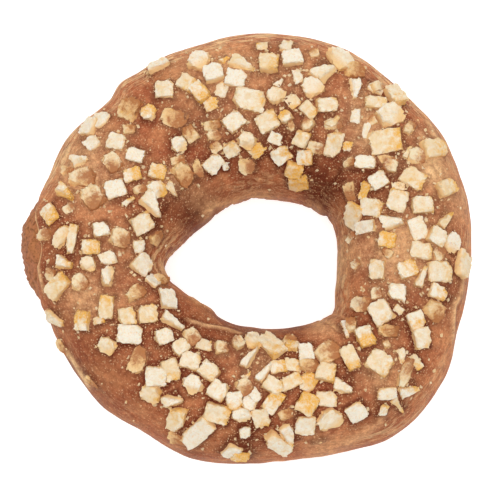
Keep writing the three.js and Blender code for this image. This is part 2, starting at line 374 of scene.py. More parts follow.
@dataclass(frozen=True)
class Bell:
    """A stretch of the ring: a bell curve of bearing, with the size it reaches in the middle."""

    middle: float
    half_width: float
    size: float

    def at(self, bearing: Array) -> Array:
        """Gives the size at bearings in degrees."""
        away = np.mod(bearing - self.middle + 180.0, 360.0) - 180.0
        return self.size * np.exp(-((away / self.half_width) ** 2))


@dataclass(frozen=True)
class Wave:
    """A wave round the ring: its size, how many there are in a turn, and where one crests."""

    size: float
    count: float
    crest: float

    def at(self, bearing: Array) -> Array:
        """Gives the wave's value at bearings in degrees."""
        return self.size * np.cos(np.radians(self.count * (bearing - self.crest)))


@dataclass(frozen=True)
class Patch:
    """A soft round patch, seen from above: its middle and radius in millimetres, and its strength."""

    x: float
    y: float
    radius: float
    strength: float

    def at(self, x: Array, y: Array) -> Array:
        """Gives the patch's strength at each place."""
        return self.strength * np.exp(-((x - self.x) ** 2 + (y - self.y) ** 2) / self.radius**2)


@dataclass(frozen=True)
class Slope:
    """A line held between a least value and 1: how steep it is, and its value at 0."""

    gain: float
    start: float
    least: float = 0.0

    def at(self, value: Array) -> Array:
        """Gives the line's value."""
        return np.clip(value * self.gain + self.start, self.least, 1.0)


@dataclass(frozen=True)
class Fade:
    """A strength that dies away with distance: its size at 0, and its reach in millimetres."""

    size: float
    reach: float

    def at(self, distance: Array) -> Array:
        """Gives the strength at each distance."""
        return self.size * np.exp(-distance / self.reach)


@dataclass(frozen=True)
class Seam:
    """A crease of the icing or of the dough under it: a line seen from above, in millimetres."""

    points: Curve
    width: float
    height: float
    pale: float
    taper: float = 0.2

    def strength(self, x: Array, y: Array) -> Array:
        """Tells how much of the crease is at each place.

        Args:
            x: to the right, in millimetres.
            y: away from the viewer, in millimetres.

        Returns:
            1 on the line, falling to 0 past its width and towards its ends.
        """
        nodes = np.array(self.points, dtype=float)
        starts, steps = nodes[:-1], np.diff(nodes, axis=0)
        along = np.linspace(0.0, 1.0, len(nodes))
        best, where = np.full(x.shape, np.inf), np.zeros(x.shape)
        for k, (start, step) in enumerate(zip(starts, steps)):
            t = np.clip(((x - start[0]) * step[0] + (y - start[1]) * step[1]) / (step @ step), 0.0, 1.0)
            away = np.hypot(x - start[0] - t * step[0], y - start[1] - t * step[1])
            where = np.where(away < best, along[k] + t * (along[k + 1] - along[k]), where)
            best = np.minimum(away, best)
        ends = np.clip(np.minimum(where, 1.0 - where) / self.taper, 0.0, 1.0)
        return np.exp(-((best / self.width) ** 2)) * ends


@dataclass(frozen=True)
class RingShape:
    """The form of the whole doughnut, in millimetres and degrees, as the solids have it."""

    hole_x: float = 1.4
    hole_y: float = -2.7
    outer_edge: Curve = (
        (0, 44.6), (18, 45.8), (34, 46.8), (48, 46.6), (66, 47.7), (90, 47.1), (103, 46.2), (121, 45.8),
        (127, 45.9), (132, 44.4), (147, 45.8), (156, 45.5), (163, 46.4), (173, 48.9), (186, 47.4),
        (192, 45.5), (201, 43.3), (214, 42.9), (226, 42.6), (238, 41.5), (252, 42.1), (270, 41.4),
        (283, 41.8), (294, 42.9), (300, 44), (307, 45.7), (316, 46.2), (330, 45.7), (341, 44.2),
        (352, 44.4),
    )
    hole_edge: Curve = (
        (0, 17.2), (22, 17.9), (31, 17.8), (37, 16.9), (50, 15.7), (68, 14), (90, 13.1), (115, 12.4),
        (140, 12.5), (157, 13.8), (168, 15.2), (182, 17.8), (190, 18.1), (203, 15.9), (214, 14.5),
        (225, 13.5), (250, 13.8), (272, 14.1), (292, 15.4), (315, 17.9), (327, 19.5), (340, 17.9),
    )
    equator_height: float = 13.8
    top_rise: float = 13.2
    bottom_drop: float = 15.2
    squareness: float = 2.3
    swells: tuple[Wave, ...] = rows_of(Wave, (0.6, 2, 35), (0.4, 3, 80))
    folds: tuple[Bell, ...] = rows_of(Bell, (50, 9, 3.2), (186, 7, 1.4), (325, 8, 1.8))
    coat: float = 2.05

    def edge_radius(self, edge: Curve, bearing: Array) -> Array:
        """Follows a smooth closed curve through an edge's points.

        Args:
            edge: bearing in degrees and distance from the middle of the hole.
            bearing: where the distance is wanted, in degrees.

        Returns:
            The distances.
        """
        angle, radius = np.array(edge, dtype=float).T
        at = np.mod(np.asarray(bearing, dtype=float), 360.0)
        index = np.searchsorted(angle, at, side="right") - 1

        def point(i: Array) -> tuple[Array, Array]:
            """Gives a point's bearing and distance, counting on past a full turn."""
            turns = np.floor_divide(i, len(edge))
            return angle[i - turns * len(edge)] + 360.0 * turns, radius[i - turns * len(edge)]

        (a0, r0), (a1, r1), (a2, r2), (a3, r3) = (point(index + step) for step in (-1, 0, 1, 2))
        span = a2 - a1
        t = (at - a1) / span
        leave, arrive = span * (r2 - r0) / (a2 - a0), span * (r3 - r1) / (a3 - a1)
        return (r1 * (2 * t**3 - 3 * t**2 + 1) + leave * (t**3 - 2 * t**2 + t)
                + r2 * (3 * t**2 - 2 * t**3) + arrive * (t**3 - t**2))

    def edges(self, bearing: Array) -> tuple[Array, Array]:
        """Gives the distances of the outside and of the hole's side."""
        return self.edge_radius(self.outer_edge, bearing), self.edge_radius(self.hole_edge, bearing)

    def place(self, x: Array, y: Array) -> tuple[Array, Array]:
        """Tells where a place seen from above lies on the iced ring.

        Args:
            x: to the right, in millimetres.
            y: away from the viewer, in millimetres.

        Returns:
            The bearing in degrees, and how far across: -1 at the hole and 1 at the outside.
        """
        bearing = np.mod(np.degrees(np.arctan2(y - self.hole_y, x - self.hole_x)), 360.0)
        outside, hole = self.edges(bearing)
        distance = np.hypot(x - self.hole_x, y - self.hole_y)
        return bearing, (distance - (outside + hole) / 2) / ((outside - hole) / 2)


@dataclass(frozen=True)
class Relief:
    """A layer's lumps and wrinkles: their sizes and depths in millimetres, and their seed."""

    lump_size: float
    lump_depth: float
    wrinkle_size: float
    wrinkle_depth: float
    seed: float


class RingForm:
    """The rule that both the dough and the icing follow: a squared ellipse carried round two uneven edges."""

    # The relief grows to its full depth between these heights, in metres, so that the foot stays flat.
    off_foot = Span(0.0002, 0.004)

    def __init__(self, shape: RingShape) -> None:
        """Builds the tree once for every layer.

        Args:
            shape: the doughnut's form.
        """
        self.shape = shape
        lengths = ("Hole X", "Hole Y", "Equator Height", "Bottom Drop", "Coat")
        self.form = ShapeTree("ring_form", {
            **dict.fromkeys(lengths, 0.0), "Squareness": 2.3, "Lump Size": 0.009, "Lump Depth": 0.0003,
            "Wrinkle Size": 0.0025, "Wrinkle Depth": 0.0001, "Seed": 0.0, "Material": "NodeSocketMaterial"})
        self.build_tree()

    def power(self, trig: str) -> Node:
        """Squares the ellipse: the cosine or sine of the turn, to a power, with its sign kept.

        Args:
            trig: COSINE or SINE.

        Returns:
            The node that holds it.
        """
        form = self.form
        turn = form.add(ATTRIBUTE, {"Name": "turn"}, data_type="FLOAT")
        wave = form.add(MATH, {0: turn}, operation=trig)
        size = form.add(MATH, {0: wave}, operation="ABSOLUTE")
        exponent = form.add(MATH, {0: 2.0, 1: form.given["Squareness"]}, operation="DIVIDE")
        raised = form.add(MATH, {0: size, 1: exponent}, operation="POWER")
        sign = form.add(MATH, {0: wave}, operation="SIGN")
        return form.add(MATH, {0: raised, 1: sign}, operation="MULTIPLY")

    def relief(self, geometry: Node, kind: str, detail: float) -> Node:
        """Moves the surface in and out along its normal by a noise.

        Args:
            geometry: the node that holds the surface.
            kind: Lump or Wrinkle, whose inputs give the noise's size and depth.
            detail: how many finer noises are laid on it.

        Returns:
            The node that holds the moved surface.
        """
        form = self.form
        scale = form.add(MATH, {0: 1.0, 1: form.given[f"{kind} Size"]}, operation="DIVIDE")
        place = form.add("GeometryNodeInputPosition")
        noise = form.add(NOISE, {
            "Vector": place, "W": form.given["Seed"], "Scale": scale, "Detail": detail, "Roughness": 0.55,
        }, noise_dimensions="4D")
        centred = form.add(MATH, {0: noise, 1: 0.5}, operation="SUBTRACT")
        height = form.add("ShaderNodeSeparateXYZ", {0: place}).outputs["Z"]
        lifted = form.add(MAP_RANGE, {0: height, **self.off_foot.inputs()})
        rough = form.add(ATTRIBUTE, {"Name": "rough"}, data_type="FLOAT")
        lifted = form.add(MATH, {0: lifted, 1: rough}, operation="MULTIPLY")
        depth = form.add(MATH, {0: form.given[f"{kind} Depth"], 1: lifted}, operation="MULTIPLY")
        amount = form.add(MATH, {0: centred, 1: depth}, operation="MULTIPLY")
        normal = form.add("GeometryNodeInputNormal")
        offset = form.add("ShaderNodeVectorMath", {0: normal, "Scale": amount}, operation="SCALE")
        return form.add("GeometryNodeSetPosition", {"Geometry": geometry, "Offset": offset})

    def build_tree(self) -> None:
        """Builds the tree: the section, its place round the hole, and two reliefs."""
        form = self.form
        bearing, outer, hole, inset, rise, fold = (
            form.add(ATTRIBUTE, {"Name": name}, data_type="FLOAT")
            for name in ("bearing", "outer", "hole", "inset", "rise", "fold"))
        across, up = self.power("COSINE"), self.power("SINE")
        width = form.add(MATH, {0: outer, 1: hole}, operation="SUBTRACT")
        half = form.add(MATH, {0: width, 1: 0.5}, operation="MULTIPLY")
        half = form.add(MATH, {0: half, 1: inset}, operation="SUBTRACT")
        middle = form.add(MATH, {0: outer, 1: hole}, operation="ADD")
        middle = form.add(MATH, {0: middle, 1: 0.5}, operation="MULTIPLY")
        radius = form.add(MATH, {0: half, 1: across, 2: middle}, operation="MULTIPLY_ADD")
        hole_side = form.add(MAP_RANGE, {0: across, **Span(-1.0, 1.0, 1.0, 0.0).inputs()})
        folded = form.add(MATH, {0: fold, 1: hole_side}, operation="MULTIPLY")
        top = form.add(MATH, {0: rise, 1: folded}, operation="SUBTRACT")
        is_top = form.add(MATH, {0: up, 1: 0.0}, operation="GREATER_THAN")
        reach = form.add(MIX, {"Factor": is_top, "A": form.given["Bottom Drop"], "B": top})
        reach = form.add(MATH, {0: reach, 1: form.given["Coat"]}, operation="ADD")
        reach = form.add(MATH, {0: reach, 1: inset}, operation="SUBTRACT")
        height = form.add(MATH, {0: reach, 1: up, 2: form.given["Equator Height"]}, operation="MULTIPLY_ADD")
        height = form.add(MATH, {0: height, 1: 0.0}, operation="MAXIMUM")
        east = form.add(MATH, {0: bearing}, operation="COSINE")
        north = form.add(MATH, {0: bearing}, operation="SINE")
        x = form.add(MATH, {0: radius, 1: east, 2: form.given["Hole X"]}, operation="MULTIPLY_ADD")
        y = form.add(MATH, {0: radius, 1: north, 2: form.given["Hole Y"]}, operation="MULTIPLY_ADD")
        place = form.add("ShaderNodeCombineXYZ", {"X": x, "Y": y, "Z": height})
        ring = form.add("GeometryNodeSetPosition", {"Geometry": form.given["Geometry"], "Position": place})
        ring = self.relief(ring, "Lump", 1.0)
        ring = self.relief(ring, "Wrinkle", 3.0)
        form.finish(form.add("GeometryNodeSetShadeSmooth", {"Geometry": ring, "Shade Smooth": True}))

    def build(self, name: str, turn: Array, inset: Array, relief: Relief, rough: Bell,
              material: Material) -> Object:
        """Builds one closed layer of the ring.

        Args:
            name: the piece's name.
            turn: the section's turn in degrees, a row for each line round the ring.
            inset: how deep each of these points lies inside the iced face, in millimetres.
            relief: the lumps and wrinkles.
            rough: how much deeper they are on a stretch of the ring.
            material: the layer's material.

        Returns:
            The finished piece.
        """
        shape, (rows, columns) = self.shape, turn.shape
        bearing = np.broadcast_to(np.arange(columns) * 360.0 / columns, turn.shape)
        i, j = np.meshgrid(np.arange(rows), np.arange(columns), indexing="ij")
        i_next, j_next = (i + 1) % rows, (j + 1) % columns
        corners = [i * columns + j, i * columns + j_next, i_next * columns + j_next, i_next * columns + j]
        faces = np.stack(corners, axis=-1).reshape(-1, 4)
        start = np.stack([np.cos(np.radians(bearing)), np.sin(np.radians(bearing)), turn], axis=-1)
        mesh = bpy.data.meshes.new(name + "_grid")
        mesh.from_pydata((start.reshape(-1, 3) * MM).tolist(), [], faces.tolist())
        outer, hole = shape.edges(bearing)
        numbers = {
            "bearing": np.radians(bearing),
            "turn": np.radians(turn),
            "inset": inset * MM,
            "outer": outer * MM,
            "hole": hole * MM,
            "rise": (shape.top_rise + sum(wave.at(bearing) for wave in shape.swells)) * MM,
            "fold": sum(bell.at(bearing) for bell in shape.folds) * MM,
            "rough": 1.0 + rough.at(bearing),
        }
        for key, number in numbers.items():
            write_number(mesh, key, number)
        return self.form.run(mesh, name, {
            "Hole X": shape.hole_x * MM,
            "Hole Y": shape.hole_y * MM,
            "Equator Height": shape.equator_height * MM,
            "Bottom Drop": shape.bottom_drop * MM,
            "Coat": shape.coat * MM,
            "Squareness": shape.squareness,
            "Lump Size": relief.lump_size * MM,
            "Lump Depth": relief.lump_depth * MM,
            "Wrinkle Size": relief.wrinkle_size * MM,
            "Wrinkle Depth": relief.wrinkle_depth * MM,
            "Seed": relief.seed,
            "Material": material,
        })


class NutKind(Enum):
    """What a chopped piece looks like."""

    CREAM = "cream"
    TOASTED = "toasted"
    FILMED = "filmed"


class NutCut(Enum):
    """How the chopper left a piece."""

    DICE = 0
    BLOCK = 1
    WEDGE = 2
    FLAKE = 3
    ROUGH = 4
    NOTCHED = 5


@dataclass(frozen=True)
class Nut:
    """A chopped piece: the place of its middle and its sizes in millimetres, and its turn in degrees."""

    x: float
    y: float
    long: float
    wide: float
    turn: float
    tall: float = 0.0
    kind: NutKind = NutKind.CREAM
    cut: NutCut = NutCut.DICE
    tone: float = 0.5
    tilt: Pair = (0.0, 0.0)
    sink: float = 0.8


@dataclass(frozen=True)
class Sector:
    """A sector of the ring with nuts on it: from the hole's side, -1, to the outside, 1, and how thickly."""

    start: float
    hole: float
    outside: float
    share: float


@dataclass(frozen=True)
class Batch:
    """Nuts that are drawn: least and spread of their sizes, how many draws, and how far apart they stay."""

    long: Pair
    wide: Pair
    tall: Pair
    tries: int
    spacing: float

    def measured(self, table: dict, draw: Draw) -> list[Nut]:
        """Lists the nuts of a table of places, in its order, with their heights drawn."""
        return [Nut(*row, tall=draw.between(*self.tall), kind=kind, cut=cut)
                for (kind, cut), rows in table.items() for row in rows]


# The pieces that stand out, by kind and cut: x and y of the middle, length, width, and turn in degrees.
LANDMARK_NUTS = {
    (NutKind.CREAM, NutCut.DICE): (
        (-16.4, 30.2, 3.8, 3.8, 0), (-11.8, 31.4, 3.6, 3.2, -30), (-6.4, 33.2, 4, 3.8, 15),
        (-2, 32.2, 4.2, 3.8, -10), (4.6, 35.2, 3.8, 4, 0), (12.6, 25.6, 3.6, 2.6, -45),
        (-26.2, 19.4, 3.8, 3.4, -15), (-6.6, 15.4, 4, 3.2, 45), (-2.4, 23.4, 4, 3.6, 40),
        (4.4, 23.4, 4.4, 4, 30), (-3, 18.2, 3.2, 2.8, 35), (11.2, 20, 3.4, 3, 65), (24, 15, 4.2, 2.6, -5),
        (26.8, 11.4, 3.6, 3.2, 30), (37.4, 18.2, 5.8, 3.8, 20), (39.8, 10, 4.6, 3.2, 25),
        (-29.6, 24.4, 3.8, 3.8, 55), (-31.4, 22.8, 4, 3.2, 75), (-26.4, 9.6, 4.2, 3.6, 20),
        (-29.2, 1.2, 3.2, 2.8, 10), (-37.4, -10, 5.4, 3.4, 45), (-21.2, 2.8, 4.4, 3.8, 30),
        (-21.6, -5.6, 4, 4.4, -40), (25.4, 6, 4.8, 3.6, -15), (30.4, 7.2, 4.4, 4, 75),
        (35.2, 6.2, 4.4, 3.4, 5), (34.4, 1.4, 4.6, 3.6, -70), (35, -3, 4.4, 3.4, -10),
        (38, 0, 3.6, 3.4, -25), (38.6, -7, 5.4, 4.2, 5), (-23.2, -20, 5, 3.8, -5),
        (-16.4, -20.4, 3.4, 3, 20), (-13.2, -22.6, 3.4, 3, 40), (-17.8, -28.2, 4.2, 4, 0),
        (-15, -27, 4.4, 3.4, -70), (-11.2, -25.4, 4, 3.4, -15), (-7.4, -27.4, 4, 3.4, -35),
        (5.4, -30.2, 4, 3, -30), (-5.6, -31.2, 3.8, 3.6, -30), (20.8, -24.6, 5, 3, -65),
        (26.4, -25.6, 5, 4.4, -30), (22, -35, 4, 3.8, 30), (-5.8, -35.4, 5, 3.8, -15),
        (3, -36.2, 3.8, 3.4, -75), (-2.8, -42.2, 3.4, 4, -30), (27.2, -15.4, 4.8, 4.2, -60),
        (34.8, -20.4, 4.2, 3.4, -75),
    ),
    (NutKind.CREAM, NutCut.BLOCK): (
        (-17.6, 35.4, 4.6, 2.2, 25), (9.2, 36.2, 4.2, 3.4, 10), (26, 27.2, 4.6, 2.6, -5),
        (29.8, 29, 4.8, 3.6, -65), (16, 26.6, 4.2, 2.8, 5), (-22.2, 16.6, 3.8, 2.8, -20),
        (28, 19.2, 6.8, 5, 10), (33.6, 11.8, 5.2, 3.8, -30), (-34.8, -0.6, 6, 1.8, 80),
        (22, 4.8, 5.4, 3.8, 65), (24.2, 2.2, 4.6, 2.6, 5), (26.6, -6.8, 4, 3.2, 85),
        (43, -5, 5.4, 3.8, 70), (-27.8, -14.6, 4.8, 3, 85), (-16, -12.8, 4.6, 3.6, -85),
        (-19.8, -16, 4, 3.6, 10), (-9.6, -38.8, 8, 3.8, 45), (5, -22, 6.6, 3.8, -55),
        (12, -23.6, 4.4, 3, -85), (9, -29.4, 4.6, 2.8, 25), (16, -27.6, 4, 3.6, -10),
        (28, -31.4, 4, 2.4, 5), (11.8, -37.6, 4.2, 4, 0),
    ),
    (NutKind.CREAM, NutCut.ROUGH): (
        (-9.4, 36, 4.2, 4.2, -20), (6, 28.6, 3.6, 3.4, 45), (13.4, 30.4, 4.2, 4.2, 30),
        (19, 36.4, 5.6, 4.6, -70), (29, 24.8, 5.6, 4.8, 25), (-13.6, 19, 3.2, 3.2, 5),
        (0.2, 19.8, 3.8, 3.2, -40), (-36.8, 0, 5, 2.6, 60), (-31.6, -5.8, 3.2, 3, -10),
        (-27.8, -8.4, 4.4, 2.4, 85), (41.2, -0.8, 4.2, 4.2, -50), (-27.6, -22, 3.8, 3.2, -30),
        (-18.8, -31.4, 4, 3.8, -15), (-10.6, -29.8, 4, 3.4, -60), (1.4, -21, 4.6, 3.2, -80),
        (16.6, -36.4, 5, 4.2, 25), (-1, -35.6, 4, 2.8, -5),
    ),
    (NutKind.CREAM, NutCut.NOTCHED): (
        (0.8, 27.8, 6.6, 4.4, -15), (17.6, 19.2, 5.4, 3.4, 75), (-27.8, -4.4, 3.4, 2.8, 20),
        (-23.8, -16.4, 3.6, 3.4, 5), (-13.6, -36.2, 5.4, 3.4, 70), (16, -32.6, 4.4, 3.2, 0),
        (6.6, -41, 7, 3.4, -45), (30.2, -11.4, 3.8, 3.2, -15),
    ),
    (NutKind.CREAM, NutCut.WEDGE): (
        (-0.6, 35.4, 5.4, 3, -15), (15.6, 34, 5.6, 4.2, 55), (22.2, 30.2, 4.2, 2.8, -75),
        (-33.4, 16.2, 3.4, 3.4, 30), (-18.8, 7, 5.6, 4, -35), (29.4, 3.2, 4.4, 3.4, 20),
        (34.8, -8.2, 4.4, 2, 80), (39.8, 3.8, 4.4, 2.4, 60), (-38, -15.6, 4.4, 3.4, 0),
        (-14.8, -17.4, 5, 2.4, -20), (-14.6, -32.6, 4, 2.8, 25), (0.6, -24.4, 5, 2.2, 65),
        (3.4, -27.6, 4.4, 2.2, 65), (19.4, -30, 3.8, 3.4, 0),
    ),
    (NutKind.TOASTED, NutCut.DICE): (
        (-9.2, 29.4, 4.2, 3, -50), (-23, 12.6, 3.6, 2.8, 20), (-17.8, 13.2, 3.4, 3, -15),
        (7.2, 17, 3.8, 3.4, 35), (11.8, 16.6, 3.2, 3.2, 0), (9.8, 14.6, 3.4, 3.2, -15),
        (10.6, 12.4, 4, 3.8, 10), (-39.2, 4.6, 4.2, 3, -55), (-31.2, -2.2, 3.6, 3, 0),
        (28.4, -0.8, 3.6, 3.2, -5), (32.4, -6.8, 3.8, 3.4, 20), (-32.4, -16.8, 4, 3, 85),
        (-2.4, -33, 3.6, 3.2, -80), (5.4, -33.2, 4.8, 3, 55), (12.2, -33.6, 4.4, 4, 60),
        (-1.2, -42.8, 3.6, 2.4, -20), (23.8, -20.6, 4.4, 3.4, -65), (33.8, -17, 3.6, 3.4, -65),
        (38, -11.2, 3.8, 2.8, -15),
    ),
    (NutKind.TOASTED, NutCut.ROUGH): (
        (-19.6, 25.4, 3.4, 3, 80), (-18.2, 9.8, 4.2, 3.6, 10), (12.4, -29.4, 4.2, 3.4, 60),
    ),
    (NutKind.TOASTED, NutCut.WEDGE): (
        (-35.8, 9, 4.2, 2.6, -25), (-36.2, -5.2, 3.4, 3, 0), (32.2, -30.4, 4.2, 3, 30),
        (8.6, -39.4, 5.2, 3, -55),
    ),
    (NutKind.FILMED, NutCut.ROUGH): (
        (-23.4, 26.4, 5, 4.4, 65), (21.8, 34.2, 4.2, 3.2, 0), (-12.8, 13, 5, 3.6, -50),
        (-26.8, 15.2, 4.2, 3.4, -60), (34.2, 16.4, 3.8, 3.4, -5), (-32.8, 12.2, 5.4, 3.8, -5),
        (-30.8, 8, 5, 4.2, -55), (-25.4, -0.2, 4.2, 3.8, -20), (-33.2, -9.4, 3.6, 3.4, 0),
        (-22.2, -11.8, 4.2, 2.6, 30), (-11, -20.4, 3.6, 3.2, -60), (12.6, -26.2, 4, 2.6, -10),
        (-0.4, -30.4, 3.6, 3, -60), (31.6, -27.4, 6.4, 2.4, 70), (16.4, -23.6, 5.2, 4.4, 30),
        (23.4, -13.4, 4.6, 2.8, -5), (28.6, -19, 4, 2.4, -10), (37.6, -14.8, 4.6, 3.8, -40),
    ),
    (NutKind.FILMED, NutCut.FLAKE): (
        (-14.4, 24.2, 5.4, 3.6, -15), (0.2, 15.2, 3.6, 3.4, 5), (-36.8, -21.2, 3.8, 2.2, -50),
        (-21.4, -25.2, 5.4, 3.2, 65), (-13.8, -39.8, 3.6, 3, -25),
    ),
}

# Smaller pieces, which the solids leave out, in the same form.
SMALL_NUTS = {
    (NutKind.CREAM, NutCut.DICE): (
        (-4.8, 30, 3.2, 2.6, 70), (8.2, 39.2, 3.6, 2.4, 80), (9.4, 27.4, 3, 2.6, -50),
        (6, 20.2, 2.8, 2.4, -20), (22, 24.8, 3, 2, 85), (30.6, 10.2, 2.8, 1.8, 0), (-31, 19.4, 3, 3.2, 40),
        (-21.8, -1.6, 2.6, 2.4, -80), (-19, -9.2, 2.8, 3, -40), (9.2, -26, 3.2, 2.6, -10),
        (1.8, -32, 2.6, 2.2, -45), (0.4, -33.4, 3.4, 2.4, -50),
    ),
    (NutKind.CREAM, NutCut.BLOCK): (
        (10.4, 32.6, 3.2, 2, -75), (24.2, 21.6, 3.6, 1.4, 75), (-8.6, -22, 3.6, 2.4, -5),
        (26, 30.6, 3.4, 2.4, -20), (33.8, -25, 3.8, 1.8, -55),
    ),
    (NutKind.CREAM, NutCut.WEDGE): (
        (-14.8, 10.2, 3.2, 2.4, -30), (32.2, 17, 2.8, 1.6, 75), (31.2, -24.2, 3.4, 2.2, -60),
        (30.4, -33.4, 4.6, 1.6, -40), (20.2, -18.6, 4.8, 1.8, -70),
    ),
    (NutKind.TOASTED, NutCut.DICE): (
        (-7, 27, 3, 2.8, 20), (2.4, 18, 3.4, 2.6, 45), (6.4, -26.4, 3.4, 2.6, 10), (24, 9.4, 3.8, 1.8, 65),
    ),
    (NutKind.FILMED, NutCut.ROUGH): (
        (-13.8, 15.6, 3, 2.2, 10), (38.6, -3.4, 3.2, 2.6, 70), (-6.6, 21, 2.8, 2.8, 20),
        (14, 18.4, 4, 2.4, -20), (17.6, 23, 3.6, 2.4, 10), (8.8, -21, 3, 3.2, 20), (8, -35.6, 3.2, 2, 20),
    ),
    (NutKind.FILMED, NutCut.FLAKE): (
        (-9.8, 14.2, 3.8, 1.8, -70), (28.6, 15.4, 4, 2, -25), (21, 9.6, 4.2, 2.6, -85),
        (-31, -28.4, 3.4, 1.6, -55),
    ),
}

NUT_SECTORS = rows_of(
    Sector, (-22, -0.8, 0.82, 0.95), (22, -0.5, 0.74, 0.95), (67, -0.76, 0.7, 1.0), (112, -0.5, 0.74, 0.75),
    (157, -0.82, 0.6, 0.62), (202, -0.66, 0.42, 0.55), (247, -0.8, 0.84, 1.0), (292, -0.78, 0.66, 0.75))

# The cuts that a nut without one of its own can get, each as often as it is listed.
DRAWN_CUTS = (NutCut.DICE,) * 5 + (NutCut.BLOCK,) * 3 + (NutCut.WEDGE,) * 2
DRAWN_CUTS += (NutCut.FLAKE, NutCut.ROUGH, NutCut.ROUGH, NutCut.NOTCHED)

# The chops that shape a piece: each one's outward direction and distance from the middle.
CHOPS = {
    NutCut.DICE: (((1, 1, 0.5), 0.62),),
    NutCut.BLOCK: (((-1, 0.7, 0.2), 0.56),),
    NutCut.WEDGE: (((1, 1, 0.15), 0.2), ((-0.3, -1, 0.6), 0.5)),
    NutCut.FLAKE: (((0.2, 0.1, 1), 0.28), ((1, -0.8, 0), 0.42), ((-1, -0.5, 0), 0.46)),
    NutCut.ROUGH: (((1, 0.6, 0.3), 0.5), ((-0.8, 1, 0.2), 0.5), ((-0.5, -0.9, 0.5), 0.52),
                   ((0.3, -0.4, 1), 0.46), ((0.9, -1, 0.1), 0.56)),
    NutCut.NOTCHED: (((1, 0.5, 0), 0.48), ((-1, -0.9, 0.3), 0.52)),
}


@dataclass(frozen=True)
class FriedDough:
    """Yeast dough fried in oil: matt, golden brown below and paler in the band at the oil's face."""

    pale: str = "#CB9A66"
    golden: str = "#B27746"
    brown: str = "#8F5730"
    smear: str = "#AF6E4A"
    pit: str = "#70401F"
    mottle: Grain = Grain(5.0, 5.0, 0.65)
    pores: Grain = Grain(0.7, 3.0, 0.6)
    patchy: Span = Span(0.35, 0.55, 0.45, 1.0)
    pitted: Span = Span(0.48, 0.36, 0.0, 0.6)
    speckled: Span = Span(0.35, 0.65, 0.8, 1.18)
    tone_shift: float = 0.5
    pore_strength: float = 0.5
    pore_depth: float = 0.15

    def material(self) -> Material:
        """Makes the crust: its tone follows the section's turn, broken up by mottling and pores.

        Returns:
            The material.
        """
        # Hot oil dries the crust: a matt, mottled gold with fine pores, and paler where it met the air.
        paint = Paint("fried_yeast_dough")
        place = paint.add("ShaderNodeTexCoord").outputs["Object"]
        side, smear = (
            paint.add("ShaderNodeAttribute", attribute_name=name).outputs["Fac"]
            for name in ("side", "smear"))
        mottle = paint.add(NOISE, {"Vector": place, **self.mottle.inputs()})
        pores = paint.add(NOISE, {"Vector": place, **self.pores.inputs()})
        shifted = paint.add(MATH, {0: mottle, 1: self.tone_shift, 2: side}, operation="MULTIPLY_ADD")
        colour = paint.add("ShaderNodeValToRGB", {"Fac": shifted})
        self.set_stops(colour)
        patchy = paint.add(MAP_RANGE, {0: mottle, **self.patchy.inputs()})
        patchy = paint.add(MATH, {0: patchy, 1: smear}, operation="MULTIPLY")
        colour = paint.add(MIX, {"Factor": patchy, "A": colour, "B": self.smear}, **COLOUR)
        pits = paint.add(MAP_RANGE, {0: pores, **self.pitted.inputs()})
        pits = paint.add(MATH, {0: pits, 1: smear}, operation="MULTIPLY")
        colour = paint.add(MIX, {"Factor": pits, "A": colour, "B": self.pit}, **COLOUR)
        specks = paint.add(MAP_RANGE, {0: pores, **self.speckled.inputs()})
        colour = paint.add(MIX, {"Factor": 1.0, "A": colour, "B": specks}, **SHADE)
        bump = paint.add("ShaderNodeBump", {
            "Strength": self.pore_strength, "Distance": self.pore_depth * MM, "Height": pores})
        return paint.finish(
            Base_Color=colour, Normal=bump, Roughness=0.72, IOR=1.45, Specular_IOR_Level=0.15,
            Subsurface_Weight=0.08, Subsurface_Scale=0.002, Subsurface_Radius=(1.0, 0.5, 0.25))

    def set_stops(self, ramp: Node) -> None:
        """Fills a ramp with the crust's colours, from the top of the side to the foot.

        Args:
            ramp: the ramp's node.
        """
        stops = ((0.22, self.golden), (0.45, self.pale), (0.62, self.golden), (0.95, self.brown))
        elements = ramp.color_ramp.elements
        while len(elements) < len(stops):
            elements.new(0.5)
        for element, (place, colour) in zip(elements, stops):
            element.position = place
            element.color = linear(colour)


